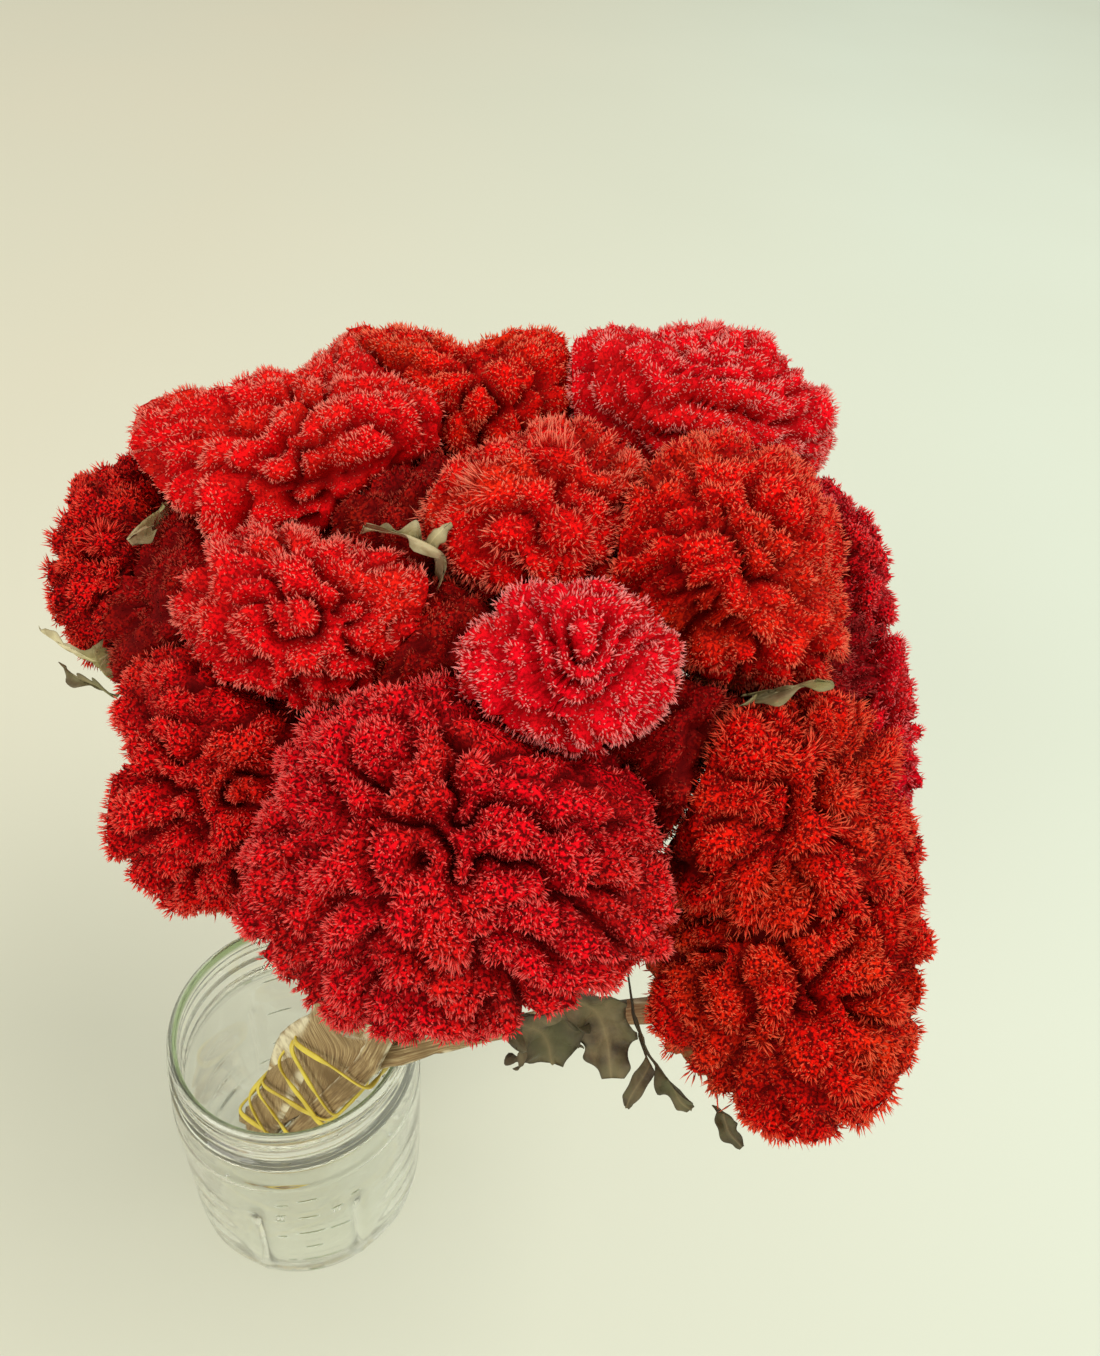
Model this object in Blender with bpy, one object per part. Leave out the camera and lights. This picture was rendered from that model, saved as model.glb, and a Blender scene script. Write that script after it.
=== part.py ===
"""Dried cockscomb celosia bunch standing in a glass jar.

Metres, +Z up. The origin is the middle of the jar's flat underside. The jar is turned from one profile.
Each flower crest is a domed shell, pressed flat where it meets its neighbours, on its own flattened stem.
The stems run together through the jar's mouth, held by rubber bands, and fan out above it to the crests.
"""
import math

import bmesh
import bpy
from mathutils import Matrix, Vector

MM = 0.001

# The jar, outside and inside sizes in millimetres
JAR_HEIGHT = 121.0
BODY_R = 44.0
BASE_R = 39.0
WALL = 3.0
FLOOR = 5.5
MOUTH_R = 37.9
LIP_R = 39.6
THREAD_R = 42.7
NECK_R = 41.3
JAR_STEPS = 52

# The directions the crests were measured along: across the view, up the view and into it
VIEW_ACROSS = Vector((0.992, 0.085, 0.090))
VIEW_UP = Vector((-0.124, 0.679, 0.723))
VIEW_INTO = Vector((0.0, 0.729, -0.685))

# Crests: name, centre, and half sizes across, up and into the view, in millimetres
CRESTS = [
    ("front", (59, -37, 278), (44, 40, 42)),
    ("front_upper", (77, -18, 316), (23, 19, 20)),
    ("left_front", (-2, -12, 257), (27, 35, 29)),
    ("left_middle", (16, 8, 297), (32, 21, 24)),
    ("upper_left", (3, 67, 300), (45, 25, 30)),
    ("far_left", (-50, 48, 268), (21, 28, 23)),
    ("top_middle", (40, 98, 304), (36, 22, 30)),
    ("top_right", (102, 101, 310), (38, 26, 32)),
    ("centre_right", (111, 29, 309), (28, 31, 30)),
    ("centre", (67, 39, 309), (27, 25, 27)),
    ("right_back", (143, 59, 293), (16, 23, 21)),
    ("right_edge_upper", (155, 24, 265), (17, 27, 23)),
    ("right_front_upper", (128, -15, 275), (28, 27, 27)),
    ("right_front_lower", (138.5, -37.5, 239.5), (33, 35, 31.5)),
    ("right_edge_lower", (162, -10, 241), (14, 26, 21)),
    ("inner_left", (32, 44, 286), (18, 18, 18)),
    ("inner_front", (46, 6, 284), (15, 14, 14)),
    ("inner_side", (101, -3, 280), (15, 13, 13)),
    ("inner_far_left", (-25, 38, 268), (15, 15, 15)),
    ("inner_far_right", (136, 28, 278), (14, 14, 14)),
]
CREST_SHELL = 3.0
SQUARENESS = 2.15
CREST_EDGE = math.radians(121)
CREST_U, CREST_V = 20, 12
FACING_VIEW = 0.7
FAN_ORIGIN = Vector((50, 0, 175))
LEAST_LEAN = 0.05
GAP = 0.3

# The bundle of stems: its foot and its middle at the jar's mouth, and one stem's width and thickness
BUNDLE_FOOT = Vector((-20, 12, 8))
BUNDLE_MOUTH = Vector((21.5, -4.5, 121))
BUNDLE_ACROSS = Vector((0.805, -0.467, -0.364))
STEM_W, STEM_T = 8.8, 3.8
PITCH_W, PITCH_T = 9.2, 4.2
ROWS = 4
STEM_SIDES = 8
STRAIGHT_RINGS = (30.0, 60.0, 90.0)
STRAIGHT_TOP = 128.0
FREE_STEPS = 12
END_PULL = 0.36
START_PULL = 0.25
EASE_ROUNDS = 60
EASE_GAP = 9.6
SMOOTHING = 0.4
NECK_SLIM = 0.75
FAN_W, FAN_T = 15.0, 5.0
FAN_SHARE = 0.75
STEP_BACK = 0.1

# Crests that grow from the side of a neighbour and have no stem of their own
SIDE_CRESTS = ("front_upper", "left_middle", "right_edge_upper", "right_edge_lower", "inner_left",
               "inner_front", "inner_side", "inner_far_left", "inner_far_right")

# Rubber bands: height of the middle on the bundle, lean across and lean through the bundle, in millimetres
BANDS = [
    ("lower", 30.0, 8.0, 3.0),
    ("lower_slanted", 49.0, -6.0, 3.0),
    ("middle", 72.0, 12.0, 3.0),
    ("upper", 97.0, -9.0, 3.0),
]
BAND_R = 0.9
BAND_CORNER = 3.0
BAND_CORNER_STEPS = 4

# Leaves: name, points the middle line passes, half width, twist along the leaf in degrees
LEAVES = [
    ("dark_broad", [(72, -59, 247.5), (78, -53, 237), (80, -51, 232), (82, -54, 229)], 8.0, 20),
    ("dark_hanging", [(82.5, -51, 248), (91, -47, 238), (95, -49, 231), (96, -56, 227)], 5.0, -20),
    ("dark_side", [(107, -28, 238), (108, -38, 228), (113, -50, 220), (117, -55, 212), (121, -56, 208)], 3.6, 40),
    ("curled_tip", [(109.5, -45.3, 225.3), (108, -53.5, 222.5), (105, -59, 219), (104, -61, 215)], 1.9, 50),
    ("under_right", [(128, -53, 211), (130, -59, 207), (134, -63, 206)], 2.4, 20),
    ("pale_crinkled", [(46, 25, 306), (40, 21, 308), (33, 21, 309), (25, 21, 310)], 5.5, 25),
    ("pale_tip", [(43, 22, 310), (45, 20, 317), (48, 19, 322)], 2.2, 60),
    ("olive_curled", [(114, 2, 292), (121, 1, 297.5), (128, 1, 300.5), (134, 2, 305)], 3.6, 20),
    ("far_left_curled", [(-38, 33, 259), (-42, 32, 263), (-48, 32, 266), (-58, 32, 267)], 4.5, 40),
    ("far_left_low", [(-43, 31, 256), (-48, 27, 253), (-55, 26, 252), (-61, 29, 253)], 5.0, 30),
    ("left_pale", [(-30.5, 44.5, 275), (-30.5, 42.3, 280), (-32, 41, 282), (-34, 37, 281)], 3.0, 30),
]
LEAF_T = 0.7
LEAF_ROWS, LEAF_ACROSS = 10, 4
LEAF_CLEAR = 0.95
LEAF_TIP = 0.25
LEAF_CURL = 0.35
CLEAR_ROUNDS = 3


def material(name, colour, roughness, metallic=0.0):
    """A Principled material with one colour and one roughness."""
    mat = bpy.data.materials.new(name)
    mat.use_nodes = True
    shader = mat.node_tree.nodes["Principled BSDF"]
    shader.inputs["Base Color"].default_value = (*colour, 1.0)
    shader.inputs["Roughness"].default_value = roughness
    shader.inputs["Metallic"].default_value = metallic
    return mat


def add(name, bm, mat):
    """Turn a bmesh in millimetres into a named object in metres."""
    bmesh.ops.scale(bm, vec=(MM, MM, MM), verts=bm.verts)
    bmesh.ops.recalc_face_normals(bm, faces=bm.faces)
    mesh = bpy.data.meshes.new(name)
    bm.to_mesh(mesh)
    bm.free()
    mesh.shade_smooth()
    mesh.materials.append(mat)
    obj = bpy.data.objects.new(name, mesh)
    bpy.context.collection.objects.link(obj)
    return obj


def jar_outside():
    """The outside of the jar from the axis at the base up to the lip."""
    return [
        (0.0, 0.0), (BASE_R - 5.0, 0.0), (BASE_R, 1.6), (BODY_R - 2.6, 6.0), (BODY_R - 0.7, 12.0),
        (BODY_R, 22.0), (BODY_R, 84.0), (BODY_R - 0.8, 90.0), (NECK_R + 0.6, 96.0), (NECK_R, 98.0),
        (NECK_R + 0.1, 99.5), (THREAD_R, 101.0), (THREAD_R, 103.0), (NECK_R - 0.3, 105.0),
        (NECK_R - 0.3, 106.6), (THREAD_R - 0.3, 108.0), (THREAD_R - 0.3, 109.4), (NECK_R - 0.5, 111.0),
        (NECK_R - 0.6, 112.6), (THREAD_R - 0.6, 114.0), (THREAD_R - 0.7, 115.2), (LIP_R + 0.6, 117.0),
        (LIP_R + 0.3, 119.4), (LIP_R - 0.2, JAR_HEIGHT - 0.4), (LIP_R - 0.8, JAR_HEIGHT),
    ]


def jar_inside():
    """The inside of the jar from the lip down to the axis on the floor."""
    return [
        (MOUTH_R + 0.5, JAR_HEIGHT), (MOUTH_R, JAR_HEIGHT - 0.6), (MOUTH_R, 97.0), (MOUTH_R + 0.6, 92.0),
        (BODY_R - WALL, 84.0), (BODY_R - WALL, 20.0), (BODY_R - WALL - 2.0, 12.0),
        (BODY_R - WALL - 7.0, FLOOR + 1.0), (BODY_R - WALL - 11.0, FLOOR), (0.0, FLOOR),
    ]


def build_jar(mat):
    """Turn the jar's profile once round the Z axis."""
    bm = bmesh.new()
    verts = [bm.verts.new((r, 0.0, z)) for r, z in jar_outside() + jar_inside()]
    edges = [bm.edges.new(pair) for pair in zip(verts, verts[1:])]
    bmesh.ops.spin(bm, geom=verts + edges, cent=(0, 0, 0), axis=(0, 0, 1), angle=2 * math.pi,
                   steps=JAR_STEPS, use_merge=True)
    bmesh.ops.remove_doubles(bm, verts=bm.verts, dist=0.01)
    return add("glass_jar", bm, mat)


def reach(radii, direction):
    """How far a slightly squared ellipsoid with these half sizes reaches from its middle in one direction."""
    a, b, c = radii
    across, up, into = direction.dot(VIEW_ACROSS), direction.dot(VIEW_UP), direction.dot(VIEW_INTO)
    total = abs(across / a) ** SQUARENESS + abs(up / b) ** SQUARENESS + abs(into / c) ** SQUARENESS
    return total ** (-1.0 / SQUARENESS)


def crest_planes(index):
    """Planes that part a crest from its neighbours, as (outward direction, distance from its middle)."""
    _, centre, radii = CRESTS[index]
    centre = Vector(centre)
    planes = []
    for other, (_, other_centre, other_radii) in enumerate(CRESTS):
        if other == index:
            continue
        between = Vector(other_centre) - centre
        span = between.length
        direction = between / span
        mine = reach(radii, direction)
        theirs = reach(other_radii, -direction)
        planes.append((direction, span * mine / (mine + theirs) - GAP / 2))
    return planes


def crest_reach(index, planes, direction):
    """The crest's outer surface in one direction: its ellipsoid, cut back at the planes."""
    far = reach(CRESTS[index][2], direction)
    for normal, distance in planes:
        lean = direction.dot(normal)
        if lean > LEAST_LEAN:
            far = min(far, distance / lean)
    return far


def crest_axis(index):
    """The way a crest faces: between straight away from where the stems spread, and out of the view."""
    return ((Vector(CRESTS[index][1]) - FAN_ORIGIN).normalized() - VIEW_INTO * FACING_VIEW).normalized()


def build_crest(index, mat):
    """A dome of rings round the crest's axis, with a second one inside it and a rim between the two."""
    name, centre, _ = CRESTS[index]
    centre = Vector(centre)
    planes = crest_planes(index)
    turn = crest_axis(index).to_track_quat("Z", "Y").to_matrix()
    bm = bmesh.new()
    bmesh.ops.create_uvsphere(bm, u_segments=CREST_U, v_segments=CREST_V, radius=1.0)
    below = [v for v in bm.verts if v.co.z < math.cos(CREST_EDGE)]
    bmesh.ops.delete(bm, geom=below, context="VERTS")
    outside = list(bm.verts)
    copied = bmesh.ops.duplicate(bm, geom=bm.verts[:] + bm.edges[:] + bm.faces[:])
    inside = [item for item in copied["geom"] if isinstance(item, bmesh.types.BMVert)]
    for verts, depth in ((outside, 0.0), (inside, CREST_SHELL)):
        for v in verts:
            direction = (turn @ v.co).normalized()
            v.co = centre + direction * (crest_reach(index, planes, direction) - depth)
    bmesh.ops.bridge_loops(bm, edges=[edge for edge in bm.edges if edge.is_boundary])
    return add("crest_" + name, bm, mat)


def loft(name, rings, mat):
    """Join rings of points into one closed tube with flat ends."""
    bm = bmesh.new()
    loops = [[bm.verts.new(p) for p in ring] for ring in rings]
    count = len(rings[0])
    for lower, upper in zip(loops, loops[1:]):
        for k in range(count):
            n = (k + 1) % count
            bm.faces.new((lower[k], lower[n], upper[n], upper[k]))
    bm.faces.new(list(reversed(loops[0])))
    bm.faces.new(loops[-1])
    return add(name, bm, mat)


def bundle_frame():
    """The bundle's direction, its broad side's direction and the direction through it."""
    along = (BUNDLE_MOUTH - BUNDLE_FOOT).normalized()
    broad = (BUNDLE_ACROSS - along * BUNDLE_ACROSS.dot(along)).normalized()
    return along, broad, along.cross(broad)


def bundle_point(z):
    """The point on the bundle's middle line at height z."""
    share = (z - BUNDLE_FOOT.z) / (BUNDLE_MOUTH.z - BUNDLE_FOOT.z)
    return BUNDLE_FOOT.lerp(BUNDLE_MOUTH, share)


def stem_slots():
    """Give each stem its place in the bundle and its width: rows through it, in the crests' order.

    The row nearest the view has the wide stem beside a narrow one, and the others have three each.
    """
    along, broad, through = bundle_frame()
    spots = []
    for index, (name, centre, _) in enumerate(CRESTS):
        if name not in SIDE_CRESTS:
            away = Vector(centre) - bundle_point(STRAIGHT_TOP)
            spots.append((away.dot(through) / away.dot(along), away.dot(broad) / away.dot(along), index))
    spots.sort()
    slots = {}
    for row in range(ROWS):
        line = [spots.pop(0) for _ in range(3 if row else 2)]
        line.sort(key=lambda spot: spot[1])
        deep = (row - (ROWS - 1) / 2) * PITCH_T
        if row:
            for column, (_, _, index) in enumerate(line):
                slots[index] = ((column - 1) * PITCH_W, deep, STEM_W)
        else:
            slots[line[0][2]] = (-PITCH_W / 2, deep, PITCH_W + STEM_W)
            slots[line[1][2]] = (PITCH_W, deep, STEM_W)
    return slots


def fan_width(index):
    """The width of a stem's fanned top: less under a narrow crest."""
    return min(FAN_W, FAN_SHARE * min(CRESTS[index][2]))


def stem_end(index):
    """Where a crest's stem stops, just under the crest, with the last ring's two directions."""
    _, broad, _ = bundle_frame()
    planes = crest_planes(index)
    centre = Vector(CRESTS[index][1])
    axis = crest_axis(index)
    side = (broad - axis * broad.dot(axis)).normalized()
    depth = axis.cross(side)
    top = crest_reach(index, planes, axis)
    while True:
        last = ring(centre + axis * top, side, depth, fan_width(index) / 2, FAN_T / 2)
        clear = [crest_reach(index, planes, (p - centre).normalized()) - (p - centre).length for p in last]
        if min(clear) > CREST_SHELL + 2.5 * GAP:
            return centre + axis * top, axis, side
        top -= STEP_BACK


def stem_paths(slots):
    """Lines for all the stems above the bundle, eased apart level by level where two come too close."""
    along, broad, through = bundle_frame()
    starts, paths = {}, {}
    for index, slot in slots.items():
        starts[index] = bundle_point(STRAIGHT_TOP) + broad * slot[0] + through * slot[1]
        end, axis, _ = stem_end(index)
        length = (end - starts[index]).length
        paths[index] = smooth_line([starts[index], starts[index] + along * length * START_PULL,
                                    end - axis * length * END_PULL, end], FREE_STEPS)
    pairs = [(a, b) for a in slots for b in slots if a < b]
    for _ in range(EASE_ROUNDS):
        for a, b in pairs:
            for p in range(1, FREE_STEPS):
                near = min(range(1, FREE_STEPS), key=lambda q: abs((paths[b][q] - paths[a][p]).dot(along)))
                apart = paths[b][near] - paths[a][p]
                apart -= along * apart.dot(along)
                if apart.length < EASE_GAP:
                    push = apart.normalized() * ((EASE_GAP - apart.length) * 0.5)
                    paths[a][p] = paths[a][p] - push
                    paths[b][near] = paths[b][near] + push
        for path in paths.values():
            for p in range(1, FREE_STEPS):
                path[p] = path[p].lerp((path[p - 1] + path[p + 1]) / 2, SMOOTHING)
    return paths


def ring(middle, broad, through, half_w, half_t):
    """An oval ring of points."""
    turns = [2 * math.pi * k / STEM_SIDES for k in range(STEM_SIDES)]
    return [middle + broad * (half_w * math.cos(t)) + through * (half_t * math.sin(t)) for t in turns]


def jar_room(z):
    """The jar's inside radius at height z."""
    inside = jar_inside()
    for (r1, z1), (r2, z2) in zip(inside, inside[1:]):
        if z2 <= z <= z1 and z1 > z2:
            return r1 + (r2 - r1) * (z1 - z) / (z1 - z2)
    return MOUTH_R


def fits_jar(points):
    """True when every point stays clear of the jar's inside."""
    for p in points:
        if p.z < FLOOR + GAP or (p.z < JAR_HEIGHT and math.hypot(p.x, p.y) > jar_room(p.z) - GAP):
            return False
    return True


def build_stem(index, slot, path, mat):
    """A flattened stem: straight in the bundle, then a curve up into its crest, where it widens."""
    _, broad, through = bundle_frame()
    across, deep, width = slot
    offset = broad * across + through * deep
    foot = FLOOR + GAP
    while not fits_jar(ring(bundle_point(foot) + offset, broad, through, width / 2, STEM_T / 2)):
        foot += STEP_BACK
    _, axis, side = stem_end(index)
    rings = [ring(bundle_point(z) + offset, broad, through, width / 2, STEM_T / 2)
             for z in (foot, *STRAIGHT_RINGS)]
    for step, middle in enumerate(path):
        t = step / FREE_STEPS
        ahead = (path[min(step + 1, FREE_STEPS)] - path[max(step - 1, 0)]).normalized()
        if step == FREE_STEPS:
            ahead = axis
        wide = broad.lerp(side, t)
        wide = (wide - ahead * wide.dot(ahead)).normalized()
        grow = t ** 4
        narrow = width + (STEM_W * NECK_SLIM - width) * min(1.0, 3 * t)
        rings.append(ring(middle, wide, ahead.cross(wide), (narrow + (fan_width(index) - narrow) * grow) / 2,
                          (STEM_T + (FAN_T - STEM_T) * grow) / 2))
    return loft("stem_" + CRESTS[index][0], rings, mat)


def build_band(name, height, lean_across, lean_through, mat):
    """A rubber band: a round cord round the bundle, following a box with rounded corners."""
    along, broad, through = bundle_frame()
    half_w = PITCH_W + STEM_W / 2 + GAP + BAND_R
    half_t = (ROWS - 1) / 2 * PITCH_T + STEM_T / 2 + GAP + BAND_R
    points = []
    for cx, cy, start in ((1, 1, 0), (-1, 1, 90), (-1, -1, 180), (1, -1, 270)):
        for step in range(BAND_CORNER_STEPS + 1):
            angle = math.radians(start + 90 * step / BAND_CORNER_STEPS)
            points.append((cx * (half_w - BAND_CORNER) + BAND_CORNER * math.cos(angle),
                           cy * (half_t - BAND_CORNER) + BAND_CORNER * math.sin(angle)))
    curve = bpy.data.curves.new("band_" + name, "CURVE")
    curve.dimensions = "3D"
    curve.bevel_depth = BAND_R * MM
    curve.bevel_resolution = 1
    spline = curve.splines.new("POLY")
    spline.points.add(len(points) - 1)
    for spot, (x, y) in zip(spline.points, points):
        climb = lean_across * x / half_w + lean_through * y / half_t
        place = (bundle_point(height) + broad * x + through * y + along * climb) * MM
        spot.co = (*place, 1.0)
    spline.use_cyclic_u = True
    curve.materials.append(mat)
    obj = bpy.data.objects.new("band_" + name, curve)
    bpy.context.collection.objects.link(obj)
    return obj


def clear_of_crests(point):
    """Move a point straight out of any crest that it lies in or too close to."""
    for _ in range(CLEAR_ROUNDS):
        for index, (_, centre, _) in enumerate(CRESTS):
            away = point - Vector(centre)
            least = crest_reach(index, crest_planes(index), away.normalized()) + LEAF_CLEAR
            if away.length < least:
                point = Vector(centre) + away * (least / away.length)
    return point


def build_leaf(name, points, half_width, twist, mat):
    """A thin dry leaf: a strip along a smooth line, narrow at both ends, curled, and clear of the crests."""
    line = smooth_line([Vector(p) for p in points], LEAF_ROWS)
    bm = bmesh.new()
    bmesh.ops.create_grid(bm, x_segments=LEAF_ROWS, y_segments=LEAF_ACROSS, size=0.5)
    for v in bm.verts:
        t = v.co.x + 0.5
        side = v.co.y * 2
        k = round(t * LEAF_ROWS)
        ahead = (line[min(k + 1, LEAF_ROWS)] - line[max(k - 1, 0)]).normalized()
        flat = VIEW_INTO.cross(ahead).normalized()
        wide = Matrix.Rotation(math.radians(twist) * (t - 0.4), 3, ahead) @ flat
        half = half_width * (LEAF_TIP + (1 - LEAF_TIP) * math.sin(math.pi * (0.1 + 0.8 * t)))
        curl = LEAF_CURL * half * side * side
        v.co = clear_of_crests(line[k] + wide * (side * half) - ahead.cross(wide) * curl)
    obj = add("leaf_" + name, bm, mat)
    solid = obj.modifiers.new("Blade", "SOLIDIFY")
    solid.thickness = LEAF_T * MM
    solid.offset = 0.0
    return obj


def smooth_line(points, steps):
    """Points evenly spaced in the parameter of a Catmull-Rom line through the given points."""
    padded = [points[0] * 2 - points[1]] + points + [points[-1] * 2 - points[-2]]
    spans = len(points) - 1
    line = []
    for step in range(steps + 1):
        u = spans * step / steps
        k = min(int(u), spans - 1)
        t = u - k
        a, b, c, d = padded[k:k + 4]
        line.append((b * 2 + (c - a) * t + (a * 2 - b * 5 + c * 4 - d) * t * t
                     + (b * 3 - a - c * 3 + d) * t ** 3) * 0.5)
    return line


def main():
    for obj in list(bpy.data.objects):
        bpy.data.objects.remove(obj)
    glass = material("Clear green glass", (0.86, 0.93, 0.88), 0.05)
    crimson = material("Crimson celosia", (0.42, 0.02, 0.03), 0.85)
    straw = material("Dry stem", (0.42, 0.32, 0.18), 0.8)
    leaf = material("Dry leaf", (0.36, 0.33, 0.16), 0.8)
    rubber = material("Yellow rubber", (0.66, 0.52, 0.18), 0.5)
    build_jar(glass)
    for index in range(len(CRESTS)):
        build_crest(index, crimson)
    slots = stem_slots()
    paths = stem_paths(slots)
    for index, slot in slots.items():
        build_stem(index, slot, paths[index], straw)
    for name, height, lean_across, lean_through in BANDS:
        build_band(name, height, lean_across, lean_through, rubber)
    for name, points, half_width, twist in LEAVES:
        build_leaf(name, points, half_width, twist, leaf)


main()
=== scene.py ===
# %% [markdown]
# # A dried cockscomb celosia bunch in a glass jar
# The bunch is a set of velvety crests on flattened stems. The stems run through the mouth of a clear jar,
# held by rubber bands. The solids of the frame give each piece its place. Here each solid is replaced
# by a detailed surface, worked out with numpy in millimetres and written into a mesh in metres.

# %% Load the frame
import math
import bmesh
import bpy
import numpy as np
from mathutils import Matrix


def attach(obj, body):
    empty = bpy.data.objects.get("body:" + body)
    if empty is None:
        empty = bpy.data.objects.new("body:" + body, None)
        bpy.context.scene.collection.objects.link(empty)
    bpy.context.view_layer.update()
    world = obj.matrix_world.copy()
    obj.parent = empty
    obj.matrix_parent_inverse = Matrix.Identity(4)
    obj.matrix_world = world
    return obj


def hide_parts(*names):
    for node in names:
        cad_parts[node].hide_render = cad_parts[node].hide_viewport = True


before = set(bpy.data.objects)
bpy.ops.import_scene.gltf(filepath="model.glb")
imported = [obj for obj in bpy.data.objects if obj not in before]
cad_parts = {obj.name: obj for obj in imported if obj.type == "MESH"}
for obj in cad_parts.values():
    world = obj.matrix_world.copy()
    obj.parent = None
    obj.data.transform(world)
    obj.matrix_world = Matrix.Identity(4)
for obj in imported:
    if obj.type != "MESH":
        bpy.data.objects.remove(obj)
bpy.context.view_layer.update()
MM = 0.001
print("solids:", len(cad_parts))

# %% [markdown]
# The camera stands in front of the bunch, looks steeply down on it and is turned a little about its own axis.
# A pinhole camera is set by its place, its pitch below the horizon, its roll and its focal length, all found
# from the jar's rim and base. Writing the rotation from three directions keeps the roll exact.

# %% Camera
PHOTO_HIGH_PX, FOCAL_PX = 1356, 1087.0
PITCH, ROLL = math.radians(43.2), math.radians(7.1)
EYE = np.array([0.073, -0.183, 0.467])
look = np.array([0.0, math.cos(PITCH), -math.sin(PITCH)])
level = np.array([1.0, 0.0, 0.0])
rise = np.cross(level, look)
view_right = math.cos(ROLL) * level + math.sin(ROLL) * rise
view_up = -math.sin(ROLL) * level + math.cos(ROLL) * rise

lens = bpy.data.cameras.new("view")
lens.sensor_width = 36.0
lens.lens = FOCAL_PX / PHOTO_HIGH_PX * lens.sensor_width
lens.clip_start = 0.01
camera = bpy.data.objects.new("view", lens)
bpy.context.collection.objects.link(camera)
turned = Matrix(np.column_stack([view_right, view_up, -look]).tolist()).to_4x4()
camera.matrix_world = Matrix.Translation(EYE.tolist()) @ turned
bpy.context.scene.camera = camera
print("focal length", round(lens.lens, 2), "mm")

# %% [markdown]
# Every new piece goes the same way: an array of points and an array of triangles become a mesh, with its
# values per point (how far up a floret a point is, for example) and its flat map, and the piece then rides
# on the frame's one body. One helper does that for all of them.

# %% From arrays to a piece
added = {}


def make_piece(name, shape, material, instead_of=(), values=None):
    """A mesh piece from a shape: points in millimetres, triangles, and a flat map with one pair per corner.

    values maps an attribute's name to one number per point.
    """
    points, faces, uv = shape
    mesh = bpy.data.meshes.new(name)
    mesh.vertices.add(len(points))
    mesh.vertices.foreach_set("co", (points * MM).astype(np.float32).ravel())
    mesh.loops.add(faces.size)
    mesh.loops.foreach_set("vertex_index", faces.astype(np.int32).ravel())
    mesh.polygons.add(len(faces))
    mesh.polygons.foreach_set("loop_start", np.arange(0, faces.size, 3, dtype=np.int32))
    mesh.update(calc_edges=True)
    mesh.polygons.foreach_set("use_smooth", np.full(len(faces), True))
    for key, numbers in (values or {}).items():
        mesh.attributes.new(key, "FLOAT", "POINT").data.foreach_set("value", numbers.astype(np.float32))
    mesh.uv_layers.new(name="OFBake").data.foreach_set("uv", uv.astype(np.float32).ravel())
    mesh.materials.append(material)
    piece = bpy.data.objects.new(name, mesh)
    bpy.context.collection.objects.link(piece)
    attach(piece, "root")
    if instead_of:
        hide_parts(*instead_of)
    added[name] = len(faces)


def unit(vectors):
    """Vectors scaled to length one, along the last axis."""
    return vectors / np.maximum(np.linalg.norm(vectors, axis=-1, keepdims=True), 1e-9)


def soft_step(low, high, x):
    """0 below low, 1 above high, and a smooth S between."""
    t = np.clip((x - low) / (high - low), 0, 1)
    return t * t * (3 - 2 * t)


# %% [markdown]
# Stems, leaves, the jar and the marks on its wall are all the same kind of surface: closed rings carried
# along a path, with a point at each end. A rubber band is that too, but its last ring joins its first. So one
# function turns a stack of rings into points, triangles and a flat map.

# %% Rings to a closed surface
def ring_stack(rings, closed=False):
    """Points, triangles and flat map for rings of shape (rows, columns, 3).

    Each cell between two rings is two triangles. An open stack is shut by a fan round the middle of each end.
    """
    rows, columns = rings.shape[:2]
    last = rows if closed else rows - 1
    i, j = np.meshgrid(np.arange(last), np.arange(columns), indexing="ij")
    a, b = i * columns + j, i * columns + (j + 1) % columns
    above = (i + 1) % rows
    c, d = above * columns + (j + 1) % columns, above * columns + j
    faces = np.concatenate([np.stack([a, b, c], -1).reshape(-1, 3), np.stack([a, c, d], -1).reshape(-1, 3)])
    u0, u1, v0, v1 = i / last, (i + 1) / last, j / columns, (j + 1) / columns
    if not closed:
        u0, u1 = 0.02 + 0.96 * u0, 0.02 + 0.96 * u1
    corners = [np.stack(pair, -1) for pair in ((u0, v0), (u0, v1), (u1, v1), (u1, v0))]
    uv = np.concatenate([np.stack([corners[k] for k in order], 2).reshape(-1, 3, 2)
                         for order in ((0, 1, 2), (0, 2, 3))])
    points = rings.reshape(-1, 3)
    if not closed:
        k = np.arange(columns)
        n = (k + 1) % columns
        foot, top = len(points), len(points) + 1
        points = np.concatenate([points, rings[:1].mean(1), rings[-1:].mean(1)])
        upper = (rows - 1) * columns
        faces = np.concatenate([faces, np.stack([n, k, np.full(columns, foot)], -1),
                                np.stack([upper + k, upper + n, np.full(columns, top)], -1)])
        low, high = k / columns, (k + 1) / columns
        middle = (low + high) / 2
        fans = [np.stack([np.stack([x0 + 0 * low, first], -1), np.stack([x0 + 0 * low, second], -1),
                          np.stack([x1 + 0 * low, middle], -1)], 1)
                for x0, x1, first, second in ((0.02, 0.0, high, low), (0.98, 1.0, low, high))]
        uv = np.concatenate([uv, *fans])
    return points, faces, uv.reshape(-1, 2)


def gather(shapes):
    """Several shapes as one, with their flat maps side by side in a square of tiles."""
    tiles = math.ceil(math.sqrt(len(shapes)))
    points, faces, maps, start = [], [], [], 0
    for number, (spots, corners, uv) in enumerate(shapes):
        points.append(spots)
        faces.append(corners + start)
        maps.append((uv * 0.98 + np.array([number % tiles, number // tiles])) / tiles)
        start += len(spots)
    return np.concatenate(points), np.concatenate(faces), np.concatenate(maps)


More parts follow.
